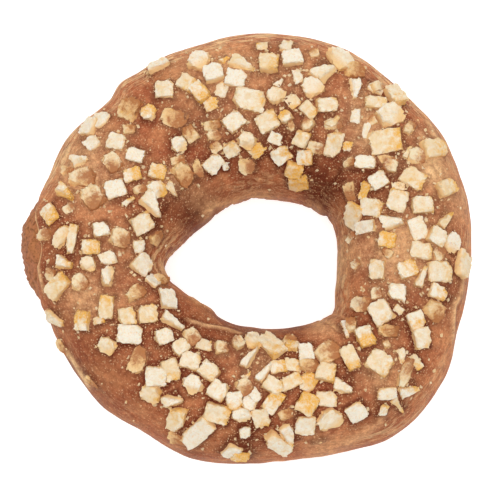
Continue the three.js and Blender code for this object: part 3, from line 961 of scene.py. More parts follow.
@dataclass(frozen=True)
class MilkCaramelIcing:
    """Poured milk caramel icing: satin brown, mottled, sugar-specked, dark in pools with painted shade round
    the nuts and in hollows, pale where thin with a painted sheen in some patches.
    """

    brown: str = "#AC5F40"
    # The dark is darker pooled icing, and also the painted shade in hollows, beside creases and round the
    # nuts.
    dark: str = "#6B3321"
    light: str = "#D18B5E"
    pale: str = "#E8BE8C"
    sugary: str = "#DDB48A"
    cloud: Grain = Grain(6.0, 6.0, 0.65)
    blotch: Grain = Grain(1.5, 5.0, 0.75)
    # Icing sugar is finer than this. Its grain is drawn just coarse enough to show.
    sugar: Grain = Grain(0.42, 2.0, 0.7)
    streak: Grain = Grain(0.55, 5.0, 0.65, 0.9)
    speck_size: float = 0.55
    clouded: Span = Span(0.38, 0.66)
    streaked: Span = Span(0.46, 0.6, 0.0, 1.3)
    broken: Span = Span(0.36, 0.62, 0.55, 1.15)
    mottled: Span = Span(0.34, 0.66, 0.78, 1.2)
    gritty: Span = Span(0.25, 0.7, 0.84, 1.14)
    grained: Span = Span(0.6, 0.72, 0.0, 0.5)
    speck_edge: Span = Span(0.34, 0.16)
    speck_chance: Span = Span(0.45, 1.15, 0.0, 0.9)
    satin: Span = Span(0.3, 0.7, 0.42, 0.68)
    specks_by_nuts: float = 0.5
    sugar_strength: float = 0.5
    sugar_depth: float = 0.1
    blotch_strength: float = 0.6
    blotch_depth: float = 0.4

    def material(self) -> Material:
        """Makes the icing from clouds, blotches, sugar grains and the streaks of its flow down the rim.

        Returns:
            The material.
        """
        # Poured sugar icing sets to a satin skin: faint soft highlights, cloudy browns and a fine grain.
        paint = Paint("milk_caramel_icing")
        place = paint.add("ShaderNodeTexCoord").outputs["Object"]
        pale, dark, rim, crumbs = (
            paint.add("ShaderNodeAttribute", attribute_name=name).outputs["Fac"]
            for name in ("pale", "dark", "rim", "crumbs"))
        flow = paint.add("ShaderNodeAttribute", attribute_name="flow").outputs["Vector"]
        clouds = paint.add(NOISE, {"Vector": place, **self.cloud.inputs()})
        blotches = paint.add(NOISE, {"Vector": place, **self.blotch.inputs()})
        sugar = paint.add(NOISE, {"Vector": place, **self.sugar.inputs()})
        streaks = paint.add(NOISE, {"Vector": flow, **self.streak.inputs()})
        clouded = paint.add(MAP_RANGE, {0: clouds, **self.clouded.inputs()})
        colour = paint.add(MIX, {"Factor": clouded, "A": self.brown, "B": self.light}, **COLOUR)
        # The dark mix lays on darker icing and painted shade: contact shadows round the nuts, shade in
        # hollows and along creases.
        colour = paint.add(MIX, {"Factor": dark, "A": colour, "B": self.dark}, **COLOUR)
        streaked = paint.add(MAP_RANGE, {0: streaks, **self.streaked.inputs()})
        streaked = paint.add(MATH, {0: streaked, 1: rim}, operation="MULTIPLY")
        # The pale mix is thinner icing and flow streaks, with the painted sheen of some pale patches.
        washed = paint.add(MAP_RANGE, {0: blotches, **self.broken.inputs()})
        washed = paint.add(MATH, {0: pale, 1: washed}, operation="MULTIPLY")
        thin = paint.add(MATH, {0: streaked, 1: washed}, operation="MAXIMUM", use_clamp=True)
        colour = paint.add(MIX, {"Factor": thin, "A": colour, "B": self.pale}, **COLOUR)
        for marks, span in ((blotches, self.mottled), (sugar, self.gritty)):
            shade = paint.add(MAP_RANGE, {0: marks, **span.inputs()})
            colour = paint.add(MIX, {"Factor": 1.0, "A": colour, "B": shade}, **SHADE)
        grains = paint.add(MAP_RANGE, {0: sugar, **self.grained.inputs()})
        colour = paint.add(MIX, {"Factor": grains, "A": colour, "B": self.pale}, **COLOUR)
        specks = paint.add("ShaderNodeTexVoronoi", {"Vector": place, "Scale": 1 / (self.speck_size * MM)})
        speck = paint.add(MAP_RANGE, {0: specks.outputs["Distance"], **self.speck_edge.inputs()})
        chance = paint.add("ShaderNodeSeparateXYZ", {0: specks.outputs["Color"]})
        chance = paint.add(
            MATH, {0: crumbs, 1: self.specks_by_nuts, 2: chance}, operation="MULTIPLY_ADD")
        chance = paint.add(MAP_RANGE, {0: chance, **self.speck_chance.inputs()})
        speck = paint.add(MATH, {0: speck, 1: chance}, operation="MULTIPLY")
        colour = paint.add(MIX, {"Factor": speck, "A": colour, "B": self.sugary}, **COLOUR)
        fine = paint.add("ShaderNodeBump", {
            "Strength": self.sugar_strength, "Distance": self.sugar_depth * MM, "Height": sugar})
        coarse = paint.add("ShaderNodeBump", {
            "Strength": self.blotch_strength, "Distance": self.blotch_depth * MM, "Height": blotches,
            "Normal": fine})
        return paint.finish(
            Base_Color=colour, Normal=coarse, IOR=1.45, Specular_IOR_Level=0.03,
            Roughness=paint.add(MAP_RANGE, {0: blotches, **self.satin.inputs()}),
            Subsurface_Weight=0.04, Subsurface_Scale=0.001, Subsurface_Radius=(1.0, 0.45, 0.2))


@dataclass(frozen=True)
class ChoppedNut:
    """Blanched roasted nut, chopped: cream and mealy on its cuts, golden where toasted, and golden down its
    sides, partly toasted skin and partly painted warm shade that darkens toward the foot.
    """

    name: str
    meal: str = "#F1E9D8"
    oily: str = "#E7C68F"
    # The flank is the sides' gold, partly toasted skin and partly painted warm shade; the foot is painted
    # shade where the sides meet the icing.
    flank: str = "#EFC68B"
    foot: str = "#DB9F5E"
    gold: str = "#EAB04E"
    film: str = "#B07148"
    thin_film: str = "#E2B680"
    bran: str = "#B98550"
    toast_at: float = 1.0
    toast_edge: float = 0.28
    film_at: float = 0.76
    film_edge: float = 0.24
    film_most: float = 0.92
    # The meal of a cut nut is finer than this. Its grain is drawn just coarse enough to show.
    grain: Grain = Grain(0.4, 3.0, 0.68)
    patch: Grain = Grain(1.5, 4.0, 0.68, 0.3)
    veil: Grain = Grain(1.1, 5.0, 0.68, 0.8)
    oiled: Span = Span(0.54, 0.86, 0.0, 0.8)
    mealy: Span = Span(0.5, 0.34, 0.0, 0.5)
    sided: Span = Span(0.57, 0.4, 0.0, 0.9)
    shade_toward_foot: Span = Span(0.35, -0.05, 0.0, 0.9)
    speckled: Span = Span(0.36, 0.56, 0.2, 1.0)
    thinned: Span = Span(0.6, 0.4)
    branny: Span = Span(0.38, 0.28, 0.0, 0.25)
    oily_by_tone: float = 0.3
    height_by_patch: float = 0.2
    # How much each of these adds: tone, x and patch to the toasting; tone, reach and x to the film; and
    # meal, z and x to how thin the film is.
    toast_by: Weights = (0.4, 0.5, 1.2)
    film_by: Weights = (0.15, -0.6, 0.5)
    thin_by: Weights = (0.3, -0.35, 0.3)
    meal_strength: float = 0.8
    meal_depth: float = 0.22

    def material(self) -> Material:
        """Makes the nut's tones from the piece's own coordinates, so that each face has its own.

        Returns:
            The material.
        """
        # A chopped nut is dry and mealy: no gloss, a soft glow at its edges, and gold where it was roasted.
        paint = Paint(self.name)
        place = paint.add("ShaderNodeTexCoord").outputs["Object"]
        local = paint.add("ShaderNodeAttribute", attribute_name="local").outputs["Vector"]
        tone = paint.add("ShaderNodeAttribute", attribute_name="tone").outputs["Fac"]
        x, _, z = paint.add("ShaderNodeSeparateXYZ", {0: local}).outputs
        meal = paint.add(NOISE, {"Vector": place, **self.grain.inputs()})
        patch = paint.add(NOISE, {"Vector": place, **self.patch.inputs()})
        veil = paint.add(NOISE, {"Vector": place, **self.veil.inputs()})
        oily = paint.add(MATH, {0: tone, 1: self.oily_by_tone, 2: patch}, operation="MULTIPLY_ADD")
        oily = paint.add(MAP_RANGE, {0: oily, **self.oiled.inputs()})
        colour = paint.add(MIX, {"Factor": oily, "A": self.meal, "B": self.oily}, **COLOUR)
        mealy = paint.add(MAP_RANGE, {0: meal, **self.mealy.inputs()})
        colour = paint.add(MIX, {"Factor": mealy, "A": colour, "B": self.flank}, **COLOUR)
        # The sides are painted warmer, and darker toward the foot, as painted shade.
        height = paint.add(MATH, {0: patch, 1: self.height_by_patch, 2: z}, operation="MULTIPLY_ADD")
        foot_shade = paint.add(MAP_RANGE, {0: height, **self.shade_toward_foot.inputs()})
        flank = paint.add(MIX, {"Factor": foot_shade, "A": self.flank, "B": self.foot}, **COLOUR)
        side = paint.add(MAP_RANGE, {0: height, **self.sided.inputs()})
        colour = paint.add(MIX, {"Factor": side, "A": colour, "B": flank}, **COLOUR)
        toast = paint.add(MATH, {0: tone, 1: self.toast_by[0]}, operation="MULTIPLY")
        for value, weight in zip((x, patch), self.toast_by[1:]):
            toast = paint.add(MATH, {0: value, 1: weight, 2: toast}, operation="MULTIPLY_ADD")
        toast_span = Span(self.toast_at, self.toast_at + self.toast_edge)
        toast = paint.add(MAP_RANGE, {0: toast, **toast_span.inputs()})
        speckle = paint.add(MAP_RANGE, {0: meal, **self.speckled.inputs()})
        toast = paint.add(MATH, {0: toast, 1: speckle}, operation="MULTIPLY")
        colour = paint.add(MIX, {"Factor": toast, "A": colour, "B": self.gold}, **COLOUR)
        reach = paint.add("ShaderNodeVectorMath", {0: local, 1: local}, operation="DOT_PRODUCT")
        cover, thin = veil, patch
        for value, weight in zip((tone, reach, x), self.film_by):
            cover = paint.add(MATH, {0: value, 1: weight, 2: cover}, operation="MULTIPLY_ADD")
        for value, weight in zip((meal, z, x), self.thin_by):
            thin = paint.add(MATH, {0: value, 1: weight, 2: thin}, operation="MULTIPLY_ADD")
        film_span = Span(self.film_at, self.film_at + self.film_edge, 0.0, self.film_most)
        cover = paint.add(MAP_RANGE, {0: cover, **film_span.inputs()})
        thin = paint.add(MAP_RANGE, {0: thin, **self.thinned.inputs()})
        film = paint.add(MIX, {"Factor": thin, "A": self.film, "B": self.thin_film}, **COLOUR)
        colour = paint.add(MIX, {"Factor": cover, "A": colour, "B": film}, **COLOUR)
        branny = paint.add(MAP_RANGE, {0: meal, **self.branny.inputs()})
        colour = paint.add(MIX, {"Factor": branny, "A": colour, "B": self.bran}, **COLOUR)
        bump = paint.add("ShaderNodeBump", {
            "Strength": self.meal_strength, "Distance": self.meal_depth * MM, "Height": meal})
        return paint.finish(
            Base_Color=colour, Normal=bump, Roughness=0.7, IOR=1.45, Specular_IOR_Level=0.2,
            Subsurface_Weight=0.12, Subsurface_Scale=0.001, Subsurface_Radius=(1.0, 0.65, 0.35))


NUT_FINISHES = {
    NutKind.CREAM: ChoppedNut("blanched_nut_cream"),
    NutKind.TOASTED: ChoppedNut("blanched_nut_toasted", toast_at=0.62),
    NutKind.FILMED: ChoppedNut(
        "blanched_nut_under_icing", meal="#EEDDBC", oily="#DDB174", toast_at=0.85, film_at=0.22),
}
# The crumbs' and the meal's flank and foot colours are the same painted shade of the sides, in their own
# tones.
NUT_CRUMB = ChoppedNut("nut_crumb", flank="#EBD3AC", foot="#E2BF8C", toast_at=1.15, film_at=1.5)
NUT_MEAL = ChoppedNut(
    "nut_meal", meal="#D6B086", oily="#C4915F", flank="#CC9F70", foot="#C0905F", toast_at=1.4, film_at=1.5)


@dataclass
class DoughRing:
    """The fried dough under the icing, with its bare crust, its pale band and its flat foot."""

    form: RingForm
    bearings: int = 720
    turns: int = 96
    inset: float = 1.3
    rough_crust: Bell = Bell(182, 20, 2.2)
    smeared: Bell = Bell(180, 24, 1.0)
    smear_below: float = 30.0
    relief: Relief = Relief(11, 0.9, 1.7, 0.6, 3.7)
    finish: FriedDough = FriedDough()

    def build(self) -> Object:
        """Builds the dough and dresses it.

        Returns:
            The finished piece.
        """
        turn = np.repeat((np.arange(self.turns) * 360.0 / self.turns)[:, None], self.bearings, axis=1)
        inset = np.full(turn.shape, self.inset)
        piece = self.form.build(
            "dough_ring", turn, inset, self.relief, self.rough_crust, self.finish.material())
        mesh = piece.data
        below = np.mod(np.degrees(read_number(mesh, "turn")) + 90.0, 360.0) - 90.0
        outside_drop = np.where(below < 0.0, -below, np.clip(below - 180.0, 0.0, 90.0))
        write_number(mesh, "side", np.clip(outside_drop / 90.0, 0.0, 1.0))
        upper = np.clip((self.smear_below - outside_drop) / self.smear_below, 0.0, 1.0)
        write_number(mesh, "smear", self.smeared.at(np.degrees(read_number(mesh, "bearing"))) * upper)
        points = read_points(mesh)
        points[:, 2] = np.maximum(points[:, 2], 0.0)
        move_points(mesh, points)
        return piece


@dataclass
class IcingCoat:
    """The skin of icing: a rounded lip, sagging edge, creases, and a collar where it climbs each nut."""

    form: RingForm
    bearings: int = 600
    face_rows: int = 130
    back_rows: int = 10
    crowding: float = 0.03
    thickness: float = 1.35
    back_depth: float = 0.25
    lip: float = 1.6
    feather: float = 0.7
    feather_length: float = 4.0
    drip_outside: float = 13.0
    drip_hole: float = 9.0
    drip_waves: tuple[Wave, ...] = rows_of(
        Wave, (4.5, 4, 15), (3, 9, 40), (2, 17, 5), (1.1, 37, 3), (0.9, 59, 1), (0.6, 97, 2))
    bare_crust: Bell = Bell(178, 17, 62)
    bare_calm: float = 0.9
    collar_height: float = 0.5
    collar_width: float = 0.6
    film_height: float = 0.3
    film_width: float = 0.5
    film_pale: float = 0.15
    relief: Relief = Relief(8, 0.8, 1.9, 0.14, 1.3)
    nowhere_rougher: Bell = Bell(0, 1, 0)
    finish: MilkCaramelIcing = MilkCaramelIcing()
    seams: tuple[Seam, ...] = rows_of(
        Seam,
        (((43.8, -5.8), (43.2, -11), (41.8, -13.2), (41.6, -18.4), (41.2, -21.8)), 0.5, 0.55, 0.7),
        (((-17.8, -3.2), (-17, -5.2), (-15.8, -7.4)), 0.5, 0.4, 1.0),
        (((18, 2.7), (18.4, -1.4), (19, -4.1), (18.6, -7.7), (18.2, -10.8)), 0.6, 0.1, 0.9),
        (((-12, -10.6), (-9.4, -12.8), (-5.8, -14)), 0.4, 0.4, 0.5),
        (((-12.8, -16.4), (-8.2, -17.6), (-4.2, -18), (0, -19.2)), 0.35, 0.35, 0.8),
        (((-9.8, 4.2), (-6.6, 8), (2.4, 10.8), (9, 10)), 0.6, 0.35, 0.6),
        (((18.2, -41.6), (21.8, -39.8), (25.6, -38), (28.8, -34.6)), 0.7, 0.2, 0.35),
        (((34.5, 22.8), (37.4, 16.7), (38.6, 11.6)), 1.1, 0.2, 0.45),
        (((35.9, 26.9), (38.6, 20.8), (40, 17.5)), 0.6, 0.2, 0.6),
        (((-36.7, -21.2), (-33.6, -26.1), (-31.1, -29.9)), 0.4, 0.25, 1.0),
        (((14.6, -14.6), (17, -16.8), (19.4, -19.4)), 0.4, -0.5, 0.3),
        (((17, -13.4), (19.4, -15.4), (22, -17)), 0.4, -0.4, 0.3),
        (((11, 9.4), (15, 7.6), (17.4, 4.4)), 0.5, 0.4, 0.5),
        (((13.2, 8.2), (16.4, 12), (18.6, 15)), 1.2, -0.9, 0.0),
        (((-42.8, 8.4), (-42.6, 2), (-41.9, -5), (-40.4, -12.2)), 0.3, 0.35, 0.95))
    # Paler icing in places; some of these patches, on the east side, are a painted sheen of the glaze.
    pale_and_sheen_patches: tuple[Patch, ...] = rows_of(
        Patch, (23, 27, 4.5, 0.3), (38.5, 15.5, 6.5, 0.35), (43, 7, 3.5, 0.3), (19, -2.5, 4, 0.45),
        (30.2, -3.4, 6.5, 0.42), (27.6, -27.5, 4, 0.4), (-34, 14, 5, 0.5), (-31, 9.5, 3.5, 0.5),
        (-26.5, -2.6, 6.5, 0.2), (-9.3, 34, 6.5, 0.38), (10.7, 33.5, 6.5, 0.22), (15.4, -16.4, 3.2, 0.55),
        (-9, 8.4, 2.6, 0.3), (2, -26, 5, 0.2), (24.2, 20.8, 3.8, 0.5), (-29.5, 20.5, 5, 0.25),
        (-24, -13, 4, 0.2), (37.5, 13.2, 2.6, 0.6), (33, -2, 8, 0.25), (-32.5, -13, 4, 0.5),
        (-1.3, 35, 4, 0.4), (0.5, 25.5, 5.5, 0.2), (-25, 16, 4, 0.25), (-15.8, 11.6, 3.2, 0.3),
        (15.5, -43.5, 4.5, 0.35))
    # Darker icing in places, and painted shade in the pinched folds and on the shaded inner wall of the hole.
    dark_and_shade_patches: tuple[Patch, ...] = rows_of(
        Patch, (16.2, 10.8, 4.6, 0.9), (-10.5, 8, 5, 0.7), (-11.5, 5, 3, 0.4), (41, -12, 1.6, 0.7),
        (-18.5, 3, 4, 0.55), (-1, -17.5, 8, 0.5), (0.2, -41.2, 4, 0.7), (-11, -41.5, 4.5, 0.4),
        (-27, -31, 10, 0.35), (29.5, -37, 6.5, 0.15), (10.5, -15.8, 3, 0.8), (27.6, 14.5, 4.8, 0.6),
        (-36, -25, 7, 0.3), (-40, -4, 3, 0.25), (-11, -18, 3.5, 0.35), (8.5, 22.5, 7, 0.35),
        (-11, 23, 5.5, 0.42), (34, -15.5, 5.5, 0.25), (-30, -7, 6, 0.25), (22.8, -27.5, 3, 0.3),
        (3.5, -22.7, 4, 0.3), (18, -8, 2.5, 0.35), (1.5, 13.5, 4, 0.3))
    seam_shadow: float = 0.4
    seam_shadow_width: float = 2.5
    lip_pale: float = 1.6
    lip_middle_deg: float = 1.5
    lip_half_deg: float = 1.3
    # Painted contact shadow round each nut, partly darker icing pooled at its foot: near and wide.
    pool_and_shadow: Fade = Fade(0.9, 0.7)
    wide_pool_and_shadow: Fade = Fade(0.3, 2.2)
    pale_over_dark: float = 0.8
    upper: Slope = Slope(4.0, 0.6)
    lying: Slope = Slope(1.4, -0.3)
    crumbs_apart: float = 0.1
    crumbs_near: Fade = Fade(0.9, 1.8)
    rim_wash: float = 0.12
    # How strongly the outer rim is streaked round the ring: real flow streaks, made strongest on the north
    # rim, which faces the light, so partly painted light.
    rim_streaks_and_light: tuple[Bell, ...] = rows_of(
        Bell, (97, 34, 0.85), (45, 22, 0.5), (10, 20, 0.25), (312, 18, 0.35), (150, 22, 0.75))
    hole_washes: tuple[Bell, ...] = rows_of(
        Bell, (85, 45, 0.4), (0, 25, 0.9), (180, 18, 0.9), (330, 15, 0.5), (270, 40, 0.15))
    outer_rim_from: float = 0.68
    hole_rim_from: float = 0.7
    rim_fade: float = 0.2
    wash_height: Slope = Slope(2.2, 0.4, 0.1)
    flow: Weights = (5.0, 4.0, 10.0)

    def edges(self, bearing: Array) -> tuple[Array, Array]:
        """Gives the icing's lower edge on each side as a turn of the section, in degrees.

        Args:
            bearing: where it is wanted, in degrees.

        Returns:
            The outside edge and the hole's edge.
        """
        wobble = sum(wave.at(bearing) for wave in self.drip_waves)
        bare = self.bare_crust.at(bearing)
        outside = -self.drip_outside + wobble * (1.0 - self.bare_calm * bare / self.bare_crust.size) + bare
        return outside, 180.0 + self.drip_hole - wobble

    def build(self) -> Object:
        """Builds the bare coat, with its lumps, before anything lies on it.

        Returns:
            The piece.
        """
        bearing = np.arange(self.bearings) * 360.0 / self.bearings
        outside, hole = self.edges(bearing)
        share = np.linspace(0.0, 1.0, self.face_rows)
        share = share - self.crowding * np.sin(2 * np.pi * share)
        face = outside + (hole - outside) * share[:, None]
        outer_radius, hole_radius = self.form.shape.edges(bearing)
        half_width = (outer_radius - hole_radius) / 2
        arc = np.radians(face - outside) * half_width
        back_arc = np.radians(hole - face) * half_width
        near_lip = np.clip(np.minimum(arc, back_arc) / self.lip, 0.0, 1.0)
        bare = self.bare_crust
        feathered = self.feather * bare.at(bearing) / bare.size * np.exp(-arc / self.feather_length)
        rounded = np.sqrt(1.0 - (1.0 - near_lip) ** 2)
        face_inset = self.thickness * (1.0 - rounded * (1.0 - feathered))
        back_share = np.linspace(1.0, 0.0, self.back_rows + 2)[1:-1]
        back = outside + (hole - outside) * back_share[:, None]
        turn = np.concatenate([face, back])
        inset = np.concatenate([face_inset, np.full(back.shape, self.thickness + self.back_depth)])
        return self.form.build(
            "icing_coat", turn, inset, self.relief, self.nowhere_rougher, self.finish.material())

    def settle(self, piece: Object, to_bare: Array, to_filmed: Array) -> None:
        """Raises the creases, the collars and the film over some nuts, and writes what the finish reads.

        Args:
            piece: the bare coat.
            to_bare: each point's distance to the nearest bare nut's side, in millimetres.
            to_filmed: its distance to the nearest nut under a film of icing.
        """
        mesh = piece.data
        points, normals = read_points(mesh), read_normals(mesh)
        x, y = points[:, 0] / MM, points[:, 1] / MM
        bearing, turn = read_number(mesh, "bearing"), read_number(mesh, "turn")
        outer_face = read_number(mesh, "inset") < (self.thickness + self.back_depth / 2) * MM
        seen = outer_face * self.upper.at(np.sin(turn))
        film = np.exp(-((to_filmed / self.film_width) ** 2))
        collar = np.exp(-((to_bare / self.collar_width) ** 2))
        lift = np.maximum(self.collar_height * collar, self.film_height * film) * seen
        pale = sum(patch.at(x, y) for patch in self.pale_and_sheen_patches) + self.film_pale * film
        # Darker icing in patches, with painted shade: the shade patches and the painted shadows beside the
        # creases.
        dark = sum(patch.at(x, y) for patch in self.dark_and_shade_patches)
        for seam in self.seams:
            strength = seam.strength(x, y) * seen
            shadow = replace(seam, width=self.seam_shadow_width * seam.width).strength(x, y)
            lift += seam.height * strength
            pale += seam.pale * strength
            dark += self.seam_shadow * shadow * (1.0 - strength) * seen
        move_points(mesh, points + normals * (lift * MM)[:, None])
        degrees = np.degrees(bearing)
        outside, _ = self.edges(degrees)
        bare = self.bare_crust.at(degrees) / self.bare_crust.size
        from_lip = (np.degrees(turn) - outside - self.lip_middle_deg) / self.lip_half_deg
        pale = np.clip(pale + self.lip_pale * (np.exp(-(from_lip**2)) * bare), 0.0, 1.0)
        nearest = np.minimum(to_bare, to_filmed)
        # The halos paint each nut's contact shadow on the icing, together with the icing pooled at its foot.
        pool_and_shadow = self.pool_and_shadow.at(nearest) + self.wide_pool_and_shadow.at(to_bare)
        write_number(mesh, "pale", pale)
        write_number(mesh, "dark", np.clip(dark + pool_and_shadow, 0.0, 1.0) * (1.0 - self.pale_over_dark * pale))
        self.streak(mesh, self.form.shape.place(x, y)[1], bearing, turn)
        facing = self.lying.at(read_normals(mesh)[:, 2])
        write_number(mesh, "crumbs", facing * (self.crumbs_apart + self.crumbs_near.at(nearest)) * outer_face)

    def streak(self, mesh: Mesh, across: Array, bearing: Array, turn: Array) -> None:
        """Writes where the rims are streaked, and the place along the flow that the streaks follow.

        Args:
            mesh: the coat's mesh.
            across: how far across the ring each point lies, from -1 at the hole to 1 at the outside.
            bearing: each point's bearing in radians.
            turn: its turn of the section in radians.
        """
        # The streak strength round the ring also paints the light on the lit north rim.
        washed = self.rim_wash + sum(bell.at(np.degrees(bearing)) for bell in self.rim_streaks_and_light)
        washed *= self.wash_height.at(np.sin(turn))
        hole_washed = sum(bell.at(np.degrees(bearing)) for bell in self.hole_washes)
        outer_rim = np.clip((across - self.outer_rim_from) / self.rim_fade, 0.0, 1.0) * washed
        hole_rim = np.clip((-self.hole_rim_from - across) / self.rim_fade, 0.0, 1.0) * hole_washed
        write_number(mesh, "rim", np.where(across > 0, outer_rim, hole_rim))
        aside, down, inward = self.flow
        length = turn * down - across * inward
        flow = np.stack([aside * np.cos(bearing), aside * np.sin(bearing), length], axis=1)
        write_vector(mesh, "flow", flow * MM)


@dataclass
class NutTopping:
    """The chopped nuts: the ones that stand out in their own places, and the rest drawn round them."""

    shape: RingShape
    seed: int = 20413
    looks_seed: int = 911
    count: int = 174
    small_count: int = 26
    drawn: Batch = Batch((2.5, 1.1), (2.0, 0.9), (2.1, 1.1), 9000, 0.96)
    small: Batch = Batch((1.7, 1.2), (1.2, 1.1), (1.2, 0.9), 5000, 0.9)
    steep: float = 5.0
    steep_drawn: float = 14.0
    toasted_below: float = 0.15
    filmed_below: float = 0.75
    deeper: float = 0.6
    deepest: float = 0.5
    film_proud: float = 1.9
    square_half: float = 0.5
    cut_half: float = 0.4
    far: float = 50.0
    overhead: float = 100.0
    chip_size: float = 1.1
    chip_depth: float = 0.8
    chip_seed: float = 4.2
    nuts: list[Nut] = field(default_factory=list)
    seats: list[tuple[Vector, Vector]] = field(default_factory=list)

    def sprinkle(self, draw: Draw, batch: Batch, wanted: int) -> None:
        """Draws nuts and keeps each one that has room, until there are enough.

        Args:
            draw: the row of draws.
            batch: the sizes, the number of draws and the spacing.
            wanted: how many nuts there are when it stops.
        """
        shape = self.shape
        reach = max(radius for _, radius in shape.outer_edge)
        for _ in range(batch.tries):
            if len(self.nuts) >= wanted:
                return
            x = shape.hole_x + reach * (2 * draw.next() - 1)
            y = shape.hole_y + reach * (2 * draw.next() - 1)
            long, wide, tall = (draw.between(*size) for size in (batch.long, batch.wide, batch.tall))
            turn, luck = 180.0 * draw.next(), draw.next()
            bearing, across = (float(v) for v in shape.place(np.float64(x), np.float64(y)))
            first = NUT_SECTORS[0].start
            at = (bearing - first) % 360.0 + first
            sector = [sector for sector in NUT_SECTORS if sector.start <= at][-1]
            on_sector = sector.hole < across < sector.outside and luck < sector.share
            room = (batch.spacing * (long + wide + other.long + other.wide) / 4 for other in self.nuts)
            apart = (math.hypot(x - other.x, y - other.y) for other in self.nuts)
            if on_sector and all(a > b for a, b in zip(apart, room)):
                self.nuts.append(Nut(x, y, long, wide, turn, tall))

    def lay_out(self) -> None:
        """Draws every nut's place, then its kind, cut, tone and tilt."""
        draw, small_draw, looks = Draw(self.seed), Draw(self.seed + 2), Draw(self.looks_seed)
        self.nuts = self.drawn.measured(LANDMARK_NUTS, draw)
        landmarks = len(self.nuts)
        self.sprinkle(draw, self.drawn, self.count)
        self.nuts += self.small.measured(SMALL_NUTS, small_draw)
        placed = len(self.nuts)
        self.sprinkle(small_draw, self.small, placed + self.small_count)
        own_looks = [i < landmarks or self.count <= i < placed for i in range(len(self.nuts))]
        self.nuts = [self.dress(nut, looks, stands_out) for nut, stands_out in zip(self.nuts, own_looks)]

    def dress(self, nut: Nut, looks: Draw, stands_out: bool) -> Nut:
        """Gives a nut its looks.

        Args:
            nut: the nut in its place.
            looks: the row of draws.
            stands_out: True for a nut that has its own kind and cut already.

        Returns:
            The nut with its tone, tilt and depth and, unless it stands out, its kind and cut.
        """
        chance, cut, tone, lean_x, lean_y, deep = (looks.next() for _ in range(6))
        steep = self.steep if stands_out else self.steep_drawn
        tilt = (math.radians(steep * (2 * lean_x - 1)), math.radians(steep * (2 * lean_y - 1)))
        if not stands_out:
            kind = NutKind.FILMED if chance < self.filmed_below else NutKind.CREAM
            kind = NutKind.TOASTED if chance < self.toasted_below else kind
            nut = replace(nut, kind=kind, cut=DRAWN_CUTS[int(cut * len(DRAWN_CUTS))])
        sink = min(nut.sink + self.deeper * deep, self.deepest * nut.tall)
        if nut.kind is NutKind.FILMED:
            sink = max(sink, nut.tall - self.film_proud)
        return replace(nut, tone=tone, tilt=tilt, sink=sink)

    def seat(self, coat: Object) -> None:
        """Finds the point of the icing where each nut sits, and the way that it faces there.

        Args:
            coat: the bare icing.
        """
        tree = BVHTree.FromObject(coat, bpy.context.evaluated_depsgraph_get())
        for nut in self.nuts:
            above = Vector((nut.x * MM, nut.y * MM, self.overhead * MM))
            self.seats.append(tree.ray_cast(above, Vector((0, 0, -1)))[:2])

    def distances(self, coat: Object, filmed: bool) -> Array:
        """Measures how far each point of the icing is from the nearest nut's side.

        Args:
            coat: the bare icing.
            filmed: True for the nuts under a film of icing, False for the others.

        Returns:
            The distances in millimetres, 0 under a nut.
        """
        points = read_points(coat.data) / MM
        nearest = np.full(len(points), self.far)
        for nut, (seat, normal) in zip(self.nuts, self.seats):
            if (nut.kind is NutKind.FILMED) is not filmed:
                continue
            upright = Vector((0, 0, 1)).rotation_difference(normal)
            cos, sin = math.cos(math.radians(nut.turn)), math.sin(math.radians(nut.turn))
            half = self.square_half if nut.cut in (NutCut.DICE, NutCut.BLOCK) else self.cut_half
            away = points - np.array(seat) / MM
            reaches = (
                (upright @ Vector((cos, sin, 0)), half * nut.long),
                (upright @ Vector((-sin, cos, 0)), half * nut.wide),
                (normal, nut.tall))
            out = [np.maximum(np.abs(away @ np.array(axis)) - reach, 0.0) for axis, reach in reaches]
            nearest = np.minimum(nearest, np.sqrt(out[0]**2 + out[1]**2 + out[2]**2))
        return nearest

    def build(self) -> list[Object]:
        """Seats the nuts on the icing.

        Returns:
            The finished pieces, one for each kind.
        """
        chopper, scatter = ChoppedCuts(), self.scatter_tree()
        cuts = chopper.build()
        pieces = []
        for kind in NutKind:
            seats, nuts = zip(*((seat, nut) for nut, seat in zip(self.nuts, self.seats) if nut.kind is kind))
            mesh = bpy.data.meshes.new(f"nut_seats_{kind.value}")
            mesh.from_pydata([tuple(point) for point, _ in seats], [], [])
            write_vector(mesh, "facing", np.array([tuple(normal) for _, normal in seats]))
            write_vector(mesh, "size", np.array([(nut.long, nut.wide, nut.tall) for nut in nuts]) * MM)
            write_vector(mesh, "lean", np.array([(*nut.tilt, math.radians(nut.turn)) for nut in nuts]))
            write_number(mesh, "cut", np.array([chopper.number(nut) for nut in nuts]))
            write_number(mesh, "tone", np.array([nut.tone for nut in nuts]))
            write_number(mesh, "sink", np.array([nut.sink for nut in nuts]) * MM)
            values = {"Pieces": cuts, "Material": NUT_FINISHES[kind].material()}
            pieces.append(scatter.run(mesh, f"nuts_{kind.value}", values))
        return pieces

